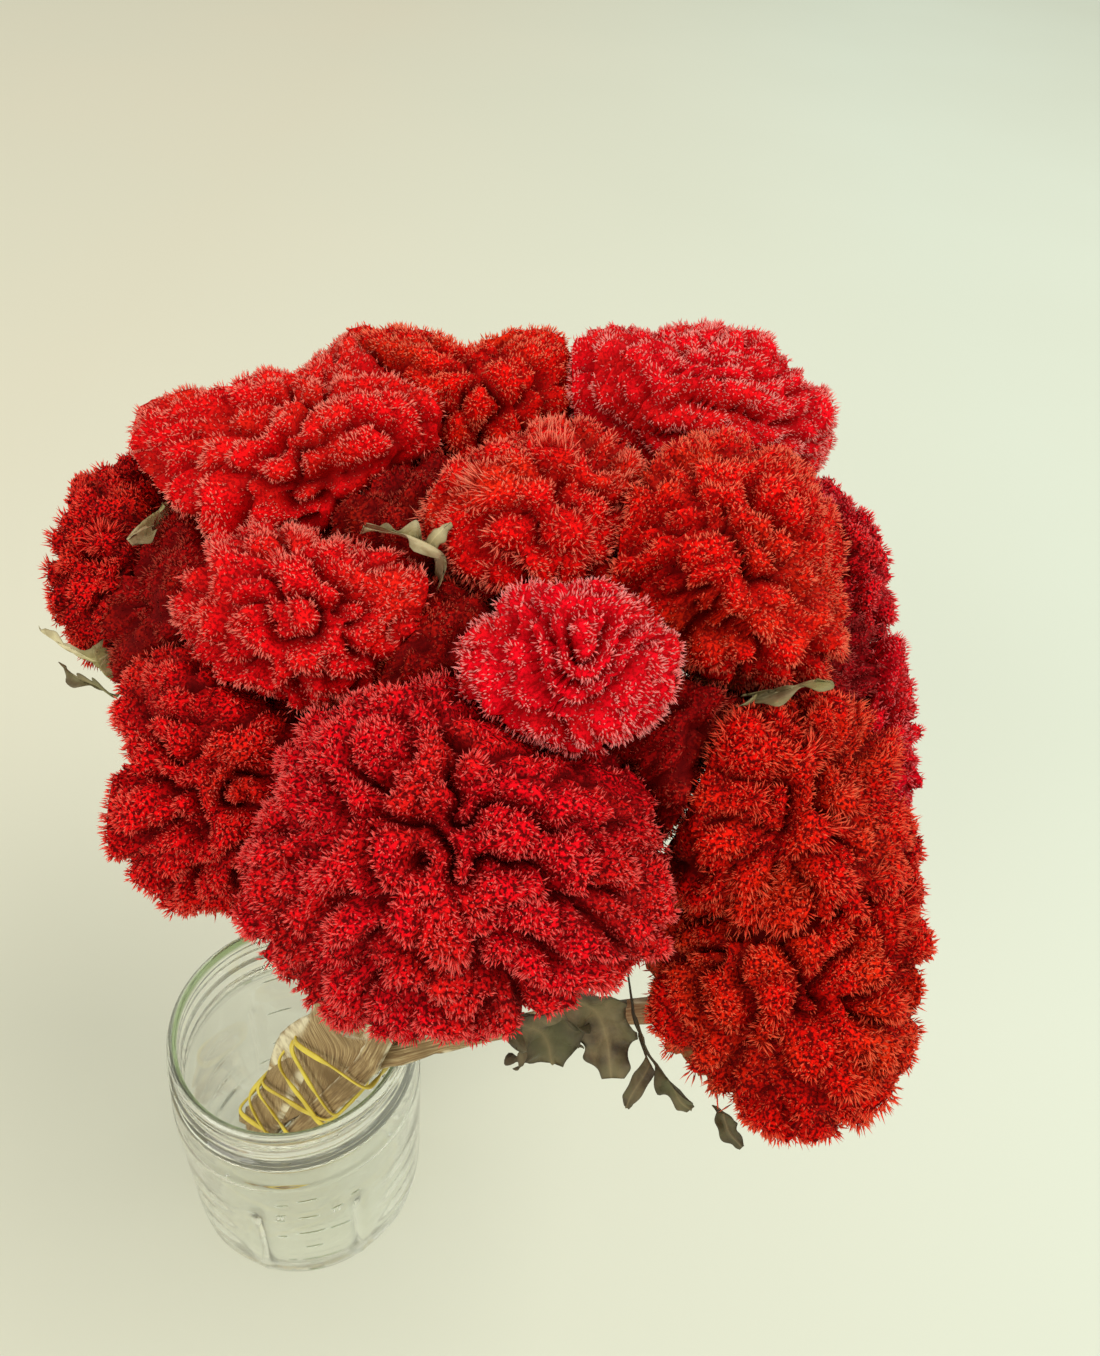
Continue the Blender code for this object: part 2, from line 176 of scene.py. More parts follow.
def smooth_line(points, count):
    """Evenly spread points on a Catmull-Rom line: each span is the cubic whose slopes at its ends are half
    the step between the points on either side."""
    given = np.asarray(points, float)
    padded = np.concatenate([2 * given[:1] - given[1:2], given, 2 * given[-1:] - given[-2:-1]])
    u = np.linspace(0, len(given) - 1, count)
    k = np.minimum(u.astype(int), len(given) - 2)
    t = (u - k)[:, None]
    a, b, c, d = (padded[k + n] for n in range(4))
    square, cube = 2 * a - 5 * b + 4 * c - d, 3 * b - a - 3 * c + d
    return 0.5 * (2 * b + (c - a) * t + square * t ** 2 + cube * t ** 3)


square_tube = np.array([[[x, y, z] for x, y in ((1, 1), (-1, 1), (-1, -1), (1, -1))] for z in (0.0, 1.0)])
print("triangles of a small tube:", len(ring_stack(square_tube)[1]))


# %% [markdown]
# Natural surfaces need a wandering pattern of one chosen scale. A sum of plane waves that all have the same
# wavelength but random directions gives one: its zero lines wander like the folds of a brain and keep
# an even spacing. It needs no grid, so it can be asked for at any set of points.

# %% A wandering field
def wander(points, wavelength, seed, waves=20):
    """Sum of cosines of one wavelength in random directions, scaled to about -1 to 1."""
    local = np.random.default_rng(seed)
    direction = unit(local.normal(size=(waves, 3)))
    phase = local.uniform(0, 2 * np.pi, waves)
    total = np.cos(points @ direction.T * (2 * np.pi / wavelength) + phase).sum(-1)
    return total / math.sqrt(waves)


# %% [markdown]
# ## The crests
# A cockscomb crest is one flower head grown sideways into a rolled, folded ribbon, and the folds crowd into
# a dome. Each crest here has the middle and half sizes of its solid, and stops half way to each neighbour,
# where two heads press together and leave a dark crease.

# %% Crest sizes
# name: middle, half sizes across, up and into the view, how far the folds ring the top (0 to 1), the spacing
# of the folds, their depth, and the hue from 0 (orange-red) to 1 (crimson)
CRESTS = {
    "front": ((59, -37, 278), (44, 40, 42), 0.20, 8.5, 9.5, 0.75),
    "front_upper": ((77, -18, 316), (23, 19, 20), 0.95, 7.5, 7, 0.90),
    "left_front": ((-2, -12, 257), (27, 35, 29), 0.35, 8.5, 9, 0.45),
    "left_middle": ((16, 8, 297), (32, 21, 24), 0.15, 8, 8, 0.55),
    "upper_left": ((3, 67, 300), (45, 25, 30), 0.20, 8.5, 8, 0.50),
    "far_left": ((-50, 48, 268), (21, 28, 23), 0.20, 8, 7, 0.35),
    "top_middle": ((40, 98, 304), (36, 22, 30), 0.10, 8, 7.5, 0.10),
    "top_right": ((102, 101, 310), (38, 26, 32), 0.70, 7.5, 7.5, 0.80),
    "centre_right": ((111, 29, 309), (28, 31, 30), 0.15, 8.5, 8.5, 0.15),
    "centre": ((67, 39, 309), (27, 25, 27), 0.10, 9, 9, 0.30),
    "right_back": ((143, 59, 293), (16, 23, 21), 0.50, 7, 6.5, 0.95),
    "right_edge_upper": ((155, 24, 265), (17, 27, 23), 0.50, 7, 6.5, 1.00),
    "right_front_upper": ((128, -15, 275), (28, 27, 27), 0.10, 9, 9, 0.10),
    "right_front_lower": ((138.5, -37.5, 239.5), (33, 35, 31.5), 0.30, 9, 9, 0.05),
    "right_edge_lower": ((162, -10, 241), (14, 26, 21), 0.40, 7, 6.5, 0.25),
    "inner_left": ((32, 44, 286), (22, 22, 22), 0.30, 6.5, 4.5, 0.30),
    "inner_front": ((46, 6, 284), (19, 18, 18), 0.30, 6.5, 4, 0.20),
    "inner_side": ((101, -3, 280), (20, 18, 18), 0.30, 6.5, 4, 0.30),
    "inner_far_left": ((-25, 38, 268), (19, 19, 19), 0.30, 6.5, 4, 0.30),
    "inner_far_right": ((136, 28, 278), (18, 18, 18), 0.30, 6.5, 4, 0.80),
}
# the directions that the half sizes run in: across the view, up it and into it
ACROSS = np.array([0.992, 0.085, 0.090])
UP = np.array([-0.124, 0.679, 0.723])
INTO = np.array([0.0, 0.729, -0.685])
# the power of a head's outline: 2 is an ellipse, more is squarer
SQUARENESS = 2.15
# where a head bulges past its rounded form: direction across, up and into the view, and how far
BULGES = {
    "front": [((-0.72, -0.66, -0.2), 6.0), ((0.9, 0.3, 0.4), 7.0), ((0.5, -0.85, -0.1), -5.0)],
    "left_front": [((-0.8, 0.1, 0.0), -5.0), ((-0.65, 0.73, -0.2), 2.0)],
    "left_middle": [((0.9, -0.1, -0.2), 6.0), ((0.5, 0.8, 0.1), -6.0), ((-0.6, 0.7, 0.1), 4.0)],
    "upper_left": [((-0.1, 0.9, 0.2), 4.0), ((-0.3, -0.9, -0.2), 5.0), ((0.3, 0.95, 0.1), 6.0)],
    "top_middle": [((-0.97, 0.2, 0.0), 20.0), ((-0.7, 0.7, 0.1), 6.0)],
    "far_left": [((0.4, -0.9, 0.0), 7.0), ((0.7, 0.5, 0.45), 5.0), ((0.8, -0.3, -0.3), 5.0)],
    "centre_right": [((0.2, -0.9, -0.35), -7.0), ((-0.3, -0.83, 0.46), 8.0)],
    "right_front_upper": [((-0.85, 0.16, -0.5), 10.0), ((-0.94, -0.16, -0.3), 4.0),
                          ((-0.2, 0.9, -0.3), -6.0)],
    "right_front_lower": [((0.85, -0.4, -0.1), 3.0), ((-0.8, 0.5, 0.2), 5.0), ((0.1, -1.0, 0.0), -4.0)],
    "inner_side": [((0.17, -0.83, 0.52), 19.0), ((0.15, -0.95, 0.28), 9.0), ((0.1, -0.5, -0.85), 8.0),
                   ((0.7, 0.6, 0.3), 8.0), ((0.2, 0.75, -0.6), 8.0)],
    "inner_front": [((-0.65, 0.35, 0.65), 8.0)],
    "inner_left": [((0.0, -1.0, 0.0), 5.0)],
    "inner_far_left": [((0.05, 1.0, 0.05), 6.0), ((-0.5, -0.6, -0.6), 3.0)],
    "inner_far_right": [((-0.95, -0.2, 0.0), 10.0)],
}
BULGE_SPREAD = 0.07
# how much a head swells towards its neighbours, as a share of its reach
SWELL = {"front": 0.03, "front_upper": 0.0, "right_front_lower": 0.06, "centre": 0.10, "left_middle": 0.10}
USUAL_SWELL, INNER_SWELL = 0.20, 0.45
# the widest gap that still makes two heads neighbours, and how wide the rounding beside a seam is
NEIGHBOUR_GAP, SEAM = 14.0, 2.0


def is_inner(name):
    """True for the small heads deep in the bunch, which close the gaps between the others."""
    return name.startswith("inner")


def head_reach(radii, direction):
    """How far a slightly squared ellipsoid reaches: the summed powers of the shares, to minus one over
    that power."""
    total = sum(np.abs(direction @ axis / r) ** SQUARENESS for axis, r in zip((ACROSS, UP, INTO), radii))
    return total ** (-1 / SQUARENESS)


def crest_reach(name, direction):
    """The head's reach, let out towards its neighbours, then eased down by a soft minimum to the planes
    half way to each of them. Also says how much the planes took off."""
    middle, radii = np.array(CRESTS[name][0], float), CRESTS[name][1]
    far = head_reach(radii, direction)
    for (across, up, into), height in BULGES.get(name, ()):
        toward = unit(across * ACROSS + up * UP + into * INTO)
        far = far + height * np.exp(-(1 - direction @ toward) / BULGE_SPREAD)
    filled = np.zeros(direction.shape[:-1])
    planes = []
    for other, entry in CRESTS.items():
        if other == name:
            continue
        between = np.array(entry[0], float) - middle
        span = np.linalg.norm(between)
        toward = between / span
        mine, theirs = head_reach(radii, toward), head_reach(entry[1], -toward)
        if span < mine + theirs + NEIGHBOUR_GAP:
            filled = np.maximum(filled, soft_step(0.25, 0.75, direction @ toward))
        planes.append((toward, span * mine / (mine + theirs)))
    usual = INNER_SWELL if is_inner(name) else USUAL_SWELL
    far = far * (1 + SWELL.get(name, usual) * filled)
    whole = far
    for toward, reach in planes:
        plane = reach / np.maximum(direction @ toward, 0.02)
        nearer = np.maximum(SEAM - np.abs(far - plane), 0) / SEAM
        far = np.minimum(far, plane) - nearer ** 2 * SEAM * 0.25
    return far, whole - far


print("the front head reaches up", crest_reach("front", UP[None])[0].round(1), "mm")

# %% [markdown]
# A dome needs a grid with cells of even size. A square folded round a ball, as paper round an octahedron,
# does it: the middle of the square is the top of the crest and its four corners meet underneath. The edge
# points are used twice, so they are merged by number.

# %% A square folded round a ball
def folded_square(cells):
    """Directions on a ball for a grid of points, from the octahedron fold, with the top at +Z.

    With x and y from -1 to 1, z is 1 - |x| - |y|. Below zero, x and y swap and fold over the edge.
    """
    s = np.linspace(-1, 1, cells + 1)
    x, y = np.meshgrid(s, s, indexing="ij")
    z = 1 - np.abs(x) - np.abs(y)
    under = z < 0
    sx, sy = np.where(x < 0, -1.0, 1.0), np.where(y < 0, -1.0, 1.0)
    fx = np.where(under, (1 - np.abs(y)) * sx, x)
    fy = np.where(under, (1 - np.abs(x)) * sy, y)
    return unit(np.stack([fx, fy, z], -1))


def merged_numbers(cells):
    """One number per grid point, the same for the two edge points that fall on one place."""
    i, j = np.meshgrid(np.arange(cells + 1), np.arange(cells + 1), indexing="ij")
    rim_i, rim_j = (i == 0) | (i == cells), (j == 0) | (j == cells)
    j2 = np.where(rim_i, np.minimum(j, cells - j), j)
    i2 = np.where(rim_j, np.minimum(i, cells - i), i)
    both = rim_i & rim_j
    i2, j2 = np.where(both, 0, i2), np.where(both, 0, j2)
    return i2 * (cells + 1) + j2


print("points on a 4-cell fold:", len(np.unique(merged_numbers(4))))

# %% [markdown]
# The folds follow the zero lines of a wandering field: each zero line is a dark crevice, and between two of
# them the ribbon swells into a roll. Dividing the field by its own slope turns it into a distance from
# the crevice in millimetres, so every roll gets the same round shoulder whatever the field does. On
# some heads the rolls ring the top, so a field of rings is mixed in.

# %% Folds of a crest
def fold_field(places, top, rings, spacing, seed):
    """A field with zero lines about one spacing apart: loose wander mixed with rings round the top."""
    loose = wander(places, spacing * 2.1, seed) + 0.25 * wander(places, spacing, seed + 2)
    away = np.linalg.norm(places - top, axis=-1)
    bend = 1.5 * wander(places, spacing * 4, seed + 5) + 0.8 * wander(places, spacing * 2, seed + 9)
    ringed = np.cos(away * np.pi / spacing + bend)
    return rings * ringed + (1 - rings) * loose


# half the width of a crevice's floor, and the step over which the slope is measured
CREVICE, SLOPE_STEP = 0.35, 0.4


def roll_height(places, direction, top, rings, spacing, seed):
    """0 in a crevice and 1 on top of a roll: a quarter circle of the distance from the zero line, notched
    along the roll into knobs by a second field."""
    side = unit(np.cross(direction, [0.3, 0.2, 0.93]))
    other = np.cross(direction, side)
    here = fold_field(places, top, rings, spacing, seed)
    slope = np.hypot(fold_field(places + side * SLOPE_STEP, top, rings, spacing, seed) - here,
                     fold_field(places + other * SLOPE_STEP, top, rings, spacing, seed) - here) / SLOPE_STEP
    away = np.abs(here) / (slope + 0.04)
    t = np.clip((away - CREVICE) / (spacing * 0.40), 0, 1)
    knob = soft_step(0.0, 0.45, np.abs(wander(places, spacing * 1.7, seed + 31)))
    return np.sqrt(1 - (1 - t) ** 2) * (0.62 + 0.38 * knob)


# %% [markdown]
# The skin of a crest is the folded square blown out to the head's reach and let down into the crevices. Its
# underside has no florets: it is ribbed and pale and drawn in towards the stem. Where a neighbour presses on
# it the folds are flattened, though hardly on the inner heads, which show only in the gaps.

# %% Crest skin
# the point that the heads fan out from, and how deep the skin lies under the points of the florets
FAN, SKIN_DEPTH = np.array([50.0, 0.0, 175.0]), 1.9
# degrees from the top of a head where its folds start to fade into its underside and where they are gone,
# and how many ribs run round it
UNDERSIDE, RIBS = (100, 124), 26
# round tufts of longer florets: the middle of each, its radius and how far it stands up
PUFFS = {"centre": [((76, 15, 325), 8.0, 4.0)],
         "right_front_upper": [((114, -19, 303), 8.0, 3.0), ((126, -45, 275), 8.0, 3.0)],
         "left_middle": [((38, 0, 309), 8.0, 3.0)]}


def crest_skin(name, cells, seed):
    """The skin on the folded square, with each point's roll height, normal, open face, seam and tuft.

    Each point is the middle plus its direction times the reach, less the depth of the fold there, plus a few
    slow lumps. On the underside the folds give way to ribs.
    """
    middle, _, rings, spacing, depth, _ = CRESTS[name]
    middle = np.array(middle, float)
    facing = unit(unit(middle - FAN) - INTO * 0.7)
    side = unit(np.cross(facing, UP + 0.3 * ACROSS))
    turn = folded_square(cells)
    direction = turn @ np.stack([side, np.cross(facing, side), facing])
    lean = np.degrees(np.arccos(np.clip(turn[..., 2], -1, 1)))
    far, cut = crest_reach(name, direction)
    place = middle + direction * (far * (1 - 0.52 * soft_step(104, 180, lean)))[..., None]
    top = middle + facing * far.max()
    height = roll_height(place, direction, top, rings, spacing, seed)
    puff, stand = np.zeros(height.shape), np.zeros(height.shape)
    for spot, radius, rise in PUFFS.get(name, ()):
        share = np.exp(-((place - np.array(spot, float)) ** 2).sum(-1) / radius ** 2)
        puff, stand = puff + share, stand + share * rise
    height = height * (1 - 0.85 * puff) + 0.85 * puff
    open_face = 1 - soft_step(*UNDERSIDE, lean)
    pressed = soft_step(0.5, 4.0, cut) * (0.2 if is_inner(name) else 1.0)
    lumps = 2.2 * wander(place, 40, seed + 3) + 0.8 * wander(place, 13, seed + 4)
    ribs = 0.8 * np.cos(np.arctan2(turn[..., 1], turn[..., 0]) * RIBS) * np.sin(np.radians(lean))
    loose = 1 - 0.7 * pressed
    deep = 0.0 if is_inner(name) else SKIN_DEPTH
    sink = (lumps + (height - 1) * depth - deep) * loose * open_face - deep * (1 - open_face)
    sink = sink + ribs * (1 - open_face) + stand
    skin = place + direction * sink[..., None]
    normal = unit(np.cross(np.gradient(skin, axis=0), np.gradient(skin, axis=1)))
    normal *= np.where((normal * direction).sum(-1, keepdims=True) < 0, -1, 1)
    return skin, height, unit(normal + direction * 0.35), open_face, pressed, puff


# %% [markdown]
# The velvet is thousands of thin florets, each a pointed lance, most of them one to four millimetres long.
# Hair curves aren't kept by an export, so each is a mesh.
# Each is a mesh: a closed lance of four triangles is enough, because
# it is only a pixel or two wide. They are strewn by the area of the skin's cells, stand on its normals, so
# that they fan out round every roll, and lean together in tufts.

# %% Florets
FLORETS_PER_MM2, MOST_FLORETS = 1.35, 24000
FLORET_R = 0.30
# where a lance is widest, as a share of its length, and how far its foot lies in the skin
WAIST, ROOTED = 0.5, 0.4
# how far florets sway together and singly
SWAY, SCATTER = 0.28, 0.22


def strewn_florets(skin, height, normal, open_face, pressed, puff, seed, long_share):
    """Roots, directions, lengths and heights of florets, placed at random by the area of the skin's cells.

    A floret's length grows with the square of its height on the roll, and more so in a tuft.
    """
    local = np.random.default_rng(seed)
    corner = skin[:-1, :-1]
    area = np.linalg.norm(np.cross(skin[1:, :-1] - corner, skin[:-1, 1:] - corner), axis=-1)
    weight = area * (1 - 0.75 * pressed[:-1, :-1]) * soft_step(0.2, 0.7, open_face[:-1, :-1])
    weight = weight * (0.15 + 0.85 * height[:-1, :-1] ** 2)
    count = min(int(weight.sum() * FLORETS_PER_MM2), MOST_FLORETS)
    cell = local.choice(weight.size, count, p=weight.ravel() / weight.sum())
    i, j = np.unravel_index(cell, weight.shape)
    u, v = local.uniform(0, 1, (2, count, 1))

    def inside(grid):
        grid = grid.reshape(*grid.shape[:2], -1)
        return ((grid[i, j] * (1 - u) + grid[i + 1, j] * u) * (1 - v)
                + (grid[i, j + 1] * (1 - u) + grid[i + 1, j + 1] * u) * v)

    root, tall = inside(skin), inside(height)[:, 0]
    sway = np.stack([wander(root, 8, seed + k) for k in (21, 22, 23)], -1)
    lean = unit(inside(normal)) + SWAY * sway + SCATTER * local.normal(size=(count, 3))
    tuft = long_share * np.clip(wander(root, 16, seed + 11), 0, 1.6) + 1.8 * inside(puff)[:, 0]
    length = (0.5 + 1.25 * tall ** 2 + tuft * tall ** 2) * local.uniform(0.55, 1.3, count)
    return root, unit(lean), length, tall


def lances(root, lean, length, radius, seed):
    """Closed lances of four triangles: a foot in the skin, two corners at the waist and a point."""
    count = len(root)
    local = np.random.default_rng(seed)
    side = unit(np.cross(lean, local.normal(size=(count, 3))))
    other = np.cross(lean, side)
    ring = radius * np.stack([side + other, side - other], 1) / math.sqrt(2)
    waist = (root + lean * (WAIST * length)[:, None])[:, None] + ring
    low, high = root - lean * ROOTED, root + lean * length[:, None]
    points = np.concatenate([waist, high[:, None], low[:, None]], 1).reshape(-1, 3)
    pattern = np.array([[3, 0, 1], [3, 1, 2], [1, 0, 2], [3, 2, 0]])
    faces = (np.arange(count)[:, None, None] * 4 + pattern).reshape(-1, 3)
    columns = math.ceil(math.sqrt(count))
    cell = np.stack([np.arange(count) % columns, np.arange(count) // columns], -1)
    flat = np.array([[[k, 0], [k + 1, 0], [k + 0.5, 4]] for k in range(4)]) / 4
    uv = (flat[None] * 0.96 + cell[:, None, None]) / columns
    return points, faces, uv.reshape(-1, 2)


one_lance = lances(np.zeros((1, 3)), np.array([[0, 0, 1.0]]), np.array([3.0]), FLORET_R, 1)
print("points and triangles of one floret:", len(one_lance[0]), len(one_lance[1]))

# %% [markdown]
# The two come together in one piece: the skin takes the left third of the flat map and the florets the rest.
# Each point also keeps how far up a floret it is, how high on its roll, whether it is above the underside,
# and a random number for its floret. The material reads these.

# %% Crest mesh
CELL_MM = 1.38
# how far up a floret the points of a lance count as: both waist corners, the point and the foot
LANCE_TIP = [0.6, 0.6, 1.0, 0.3]


def crest_mesh(name, seed, long_share):
    """Shape and values of one crest: skin and florets together."""
    mean_radius = math.prod(CRESTS[name][1]) ** (1 / 3)
    cells = 2 * int(round(math.sqrt(4 * math.pi) * mean_radius / CELL_MM / 2))
    skin, height, normal, open_face, pressed, puff = crest_skin(name, cells, seed)
    number = merged_numbers(cells)
    _, first, where = np.unique(number.ravel(), return_index=True, return_inverse=True)
    where = where.reshape(number.shape)
    base = skin.reshape(-1, 3)[first]
    a, b, c, d = where[:-1, :-1], where[1:, :-1], where[1:, 1:], where[:-1, 1:]
    faces = np.stack([np.stack(t, -1) for t in ((a, b, c), (a, c, d))], 2).reshape(-1, 3)
    i, j = np.meshgrid(np.arange(cells), np.arange(cells), indexing="ij")
    spots = [np.stack(p, -1) / cells for p in ((i, j), (i + 1, j), (i + 1, j + 1), (i, j + 1))]
    uv = np.stack([np.stack([spots[k] for k in order], 2) for order in ((0, 1, 2), (0, 2, 3))], 2)
    uv = uv.reshape(-1, 2) * [0.33, 1.0]
    florets = strewn_florets(skin, height, normal, open_face, pressed, puff, seed, long_share)
    root, lean, length, tall = florets
    spots, sides, flat = lances(root, lean, length, FLORET_R, seed + 1)
    luck = np.random.default_rng(seed + 2).uniform(0, 1, len(root))
    each = len(LANCE_TIP)
    values = {
        "tip": np.concatenate([np.zeros(len(base)), np.tile(LANCE_TIP, len(root))]),
        "fold": np.concatenate([height.ravel()[first], np.repeat(tall, each)]),
        "shown": np.concatenate([open_face.ravel()[first], np.ones(len(spots))]),
        "floret": np.concatenate([np.full(len(base), 0.5), np.repeat(luck, each)]),
    }
    shape = (np.concatenate([base, spots]), np.concatenate([faces, sides + len(base)]),
             np.concatenate([uv, flat * [0.66, 1.0] + [0.34, 0.0]]))
    return shape, values


# %% [markdown]
# Every material here is a tree of nodes. A few helpers add a node and join it in one line, so that a material
# reads as a list of what is mixed over what. Blotches turn up in nearly all of them, at different sizes, so
# they are a shader group with its own inputs, built once.

# %% Shader helpers
def add_node(tree, kind, **settings):
    """A node of one kind, with its settings."""
    node = tree.nodes.new(kind)
    for key, value in settings.items():
        setattr(node, key, value)
    return node


def plug(tree, source, target):
    """Join an output to an input, or set the input when the source is a plain value."""
    if isinstance(source, bpy.types.NodeSocket):
        tree.links.new(source, target)
    else:
        target.default_value = source


def mix_colour(tree, share, first, second, blend="MIX"):
    """Mix two colours by a share from 0 to 1."""
    node = add_node(tree, "ShaderNodeMix", data_type="RGBA", blend_type=blend)
    plug(tree, share, node.inputs[0])
    plug(tree, first, node.inputs[6])
    plug(tree, second, node.inputs[7])
    return node.outputs[2]


def sum_of(tree, operation, first, second, clamp=False):
    """One arithmetic step on two numbers."""
    node = add_node(tree, "ShaderNodeMath", operation=operation, use_clamp=clamp)
    plug(tree, first, node.inputs[0])
    plug(tree, second, node.inputs[1])
    return node.outputs[0]


def value_of(tree, name):
    """A number stored on the mesh's points."""
    return add_node(tree, "ShaderNodeAttribute", attribute_name=name).outputs["Fac"]


def new_material(name, roughness, **plain):
    """A material with its tree and its Principled shader, with plain values on the shader's own sockets."""
    material = bpy.data.materials.new(name)
    material.use_nodes = True
    shader = material.node_tree.nodes["Principled BSDF"]
    shader.inputs["Roughness"].default_value = roughness
    for key, value in plain.items():
        shader.inputs[key.replace("_", " ")].default_value = value
    return material, material.node_tree, shader


def add_bump(tree, shader, height, strength, distance):
    """Bump from a height, with its distance in metres, on the shader's normal."""
    bump = add_node(tree, "ShaderNodeBump")
    bump.inputs["Strength"].default_value = strength
    bump.inputs["Distance"].default_value = distance
    plug(tree, height, bump.inputs["Height"])
    plug(tree, bump.outputs["Normal"], shader.inputs["Normal"])


def linear(red, green, blue):
    """A colour from its 0 to 255 screen values, in the linear values a shader takes."""
    shares = np.array([red, green, blue]) / 255
    return (*np.where(shares < 0.04045, shares / 12.92, ((shares + 0.055) / 1.055) ** 2.4).tolist(), 1.0)


def between(share, full, none):
    """Screen values on the line from one colour (share 0) to another (share 1)."""
    return np.array(full) * share + np.array(none) * (1 - share)


def patch_group():
    """Group: blotches as a mask, noise on object coordinates stretched so that Low becomes 0 and High 1."""
    group = bpy.data.node_groups.new("Patches", "ShaderNodeTree")
    for name, preset in (("Size", 60.0), ("Detail", 4.0), ("Low", 0.4), ("High", 0.6)):
        socket = group.interface.new_socket(name, in_out="INPUT", socket_type="NodeSocketFloat")
        socket.default_value = preset
    group.interface.new_socket("Mask", in_out="OUTPUT", socket_type="NodeSocketFloat")
    given, result = add_node(group, "NodeGroupInput"), add_node(group, "NodeGroupOutput")
    coords, noise = add_node(group, "ShaderNodeTexCoord"), add_node(group, "ShaderNodeTexNoise")
    ramp = add_node(group, "ShaderNodeMapRange")
    for source, target in ((coords.outputs["Object"], noise.inputs["Vector"]),
                           (given.outputs["Size"], noise.inputs["Scale"]),
                           (given.outputs["Detail"], noise.inputs["Detail"]),
                           (noise.outputs["Fac"], ramp.inputs["Value"]),
                           (given.outputs["Low"], ramp.inputs["From Min"]),
                           (given.outputs["High"], ramp.inputs["From Max"]),
                           (ramp.outputs["Result"], result.inputs["Mask"])):
        plug(group, source, target)
    return group


PATCHES = patch_group()


def patches(tree, size, low, high, detail=3.0):
    """The patch group placed in a material with its own values."""
    node = add_node(tree, "ShaderNodeGroup", node_tree=PATCHES)
    for name, value in (("Size", size), ("Detail", detail), ("Low", low), ("High", high)):
        node.inputs[name].default_value = value
    return node.outputs["Mask"]


# %% [markdown]
# The colour goes up each floret: dark crimson at its root, a full red along it and salmon at its point. The
# dark root colour is painted shade; it also fills the crevices and the bare skin between the florets, so the
# rolls are lighter than the crevices. The salmon points are a painted highlight. Every head has its own hue,
# and each drifts a little towards orange in patches. The upper heads have paler points and lighter roots as
# painted light from above, the far left head has darker roots as painted shade, and the inner ones are dimmed
# as painted shade. All of it reads the values that are stored on the points, so no picture is needed.

# %% Crest material
# how far the skin between the florets takes the colour of their bodies, in fine speckles, instead of the
# dark root colour that is painted shade
BARE_SKIN = 0.95
# painted light per head: above zero a head's points are paler, their highlight reaches further down and its
# roots and crevices are less dark; below zero it is the other way, as painted shade
HEAD_PAINTED_LIGHT = {"top_right": 0.9, "upper_left": 0.7, "front_upper": 0.8, "centre": 0.5, "left_middle": 0.5,
         "top_middle": 0.5, "centre_right": 0.35, "right_edge_upper": 0.3, "far_left": -0.25}
# painted shade on the inner heads, which lie deep in the bunch: their body, patch and point colours are
# scaled by this share
INNER_SHADE = 0.72


def crest_material(name, hue, shade, head_painted_light):
    """Velvet of florets: dark roots, red bodies and salmon points, warmer in patches. The dark roots, which
    also fill the crevices, are painted shade, and the salmon points are a painted highlight. Shade dims a
    head that is deep in the bunch, as painted shade. The last value is the head's painted light from above,
    which makes its points paler and its roots less dark."""
    material, tree, shader = new_material("Celosia " + name, 0.75, Sheen_Weight=0.03, Sheen_Roughness=0.4,
                                          Sheen_Tint=linear(255, 120, 110), Specular_IOR_Level=0.06)
    cold, warm = np.array([255, 4, 34]) * shade, np.array([250, 18, 2]) * shade
    body = linear(*between(hue, cold, warm))
    patch = linear(*(np.array([236, 52, 10]) * shade * (1 - hue * 0.7) + cold * hue * 0.7))
    # painted shade: the dark colour at the floret roots, also given to the crevices and the bare skin
    root = linear(*(between(hue, [92, 0, 3], [92, 0, 0]) + [62 * head_painted_light, 0, 0]))
    # painted highlight: the salmon colour at the points of the florets, paler with the head's painted light
    salmon_highlight = between(hue, [255, 134, 134], [255, 128, 84]) + np.array([0, 56, 52]) * head_painted_light
    tip_highlight = linear(*(salmon_highlight * shade))
    red = mix_colour(tree, patches(tree, 45, 0.48, 0.66), body, patch)
    # height on the roll: low in the crevices, where the painted shade stays
    depth = sum_of(tree, "POWER", value_of(tree, "fold"), 1.3)
    up = value_of(tree, "tip")
    bare = sum_of(tree, "MULTIPLY", patches(tree, 1300, 0.42, 0.60), BARE_SKIN)
    raised = sum_of(tree, "ADD", sum_of(tree, "ADD", up, bare), 0.4 * head_painted_light, True)
    red = mix_colour(tree, sum_of(tree, "MULTIPLY", depth, raised), root, red)
    # painted highlight: strongest at a floret's point, on the rolls and on lucky florets
    highlight_share = sum_of(tree, "POWER", up, 2.2 - 1.1 * head_painted_light)
    luck = sum_of(tree, "ADD", value_of(tree, "floret"), 0.3 + 0.3 * head_painted_light, True)
    highlight_share = sum_of(tree, "MULTIPLY", sum_of(tree, "MULTIPLY", highlight_share, luck), depth)
    red = mix_colour(tree, highlight_share, red, tip_highlight)
    pale = mix_colour(tree, patches(tree, 260, 0.35, 0.7), linear(152, 120, 70), linear(120, 40, 26))
    plug(tree, mix_colour(tree, value_of(tree, "shown"), pale, red), shader.inputs["Base Color"])
    return material


# %% Build the crests
# how much longer the florets of a tuft are, in millimetres
USUAL_TUFT = 0.5
TUFTED = {"centre": 2.6, "right_front_upper": 2.0, "right_front_lower": 2.0, "far_left": 1.8}
for number, (name, (*_, hue)) in enumerate(CRESTS.items()):
    shape, values = crest_mesh(name, 100 + 17 * number, TUFTED.get(name, USUAL_TUFT))
    velvet = crest_material(name, hue, INNER_SHADE if is_inner(name) else 1.0, HEAD_PAINTED_LIGHT.get(name, 0.0))
    make_piece("crest_" + name + "_florets", shape, velvet, ("crest_" + name,), values)
print("crest triangles:", sum(added.values()), "largest:", max(added.values()))

# %% [markdown]
# ## The jar
# A canning jar is blown in a mould: a bead and a threaded neck above a soft shoulder, thick glass in the
# bottom, and on two sides of the wall a pair of upright ribs with fine level marks between them. One profile
# is carried round the axis in closed rings. The thread is added to the radius as a ridge that climbs as it
# goes round, and so are the ribs and a faint ripple beside them.

# %% Jar
BODY_R = 44.0
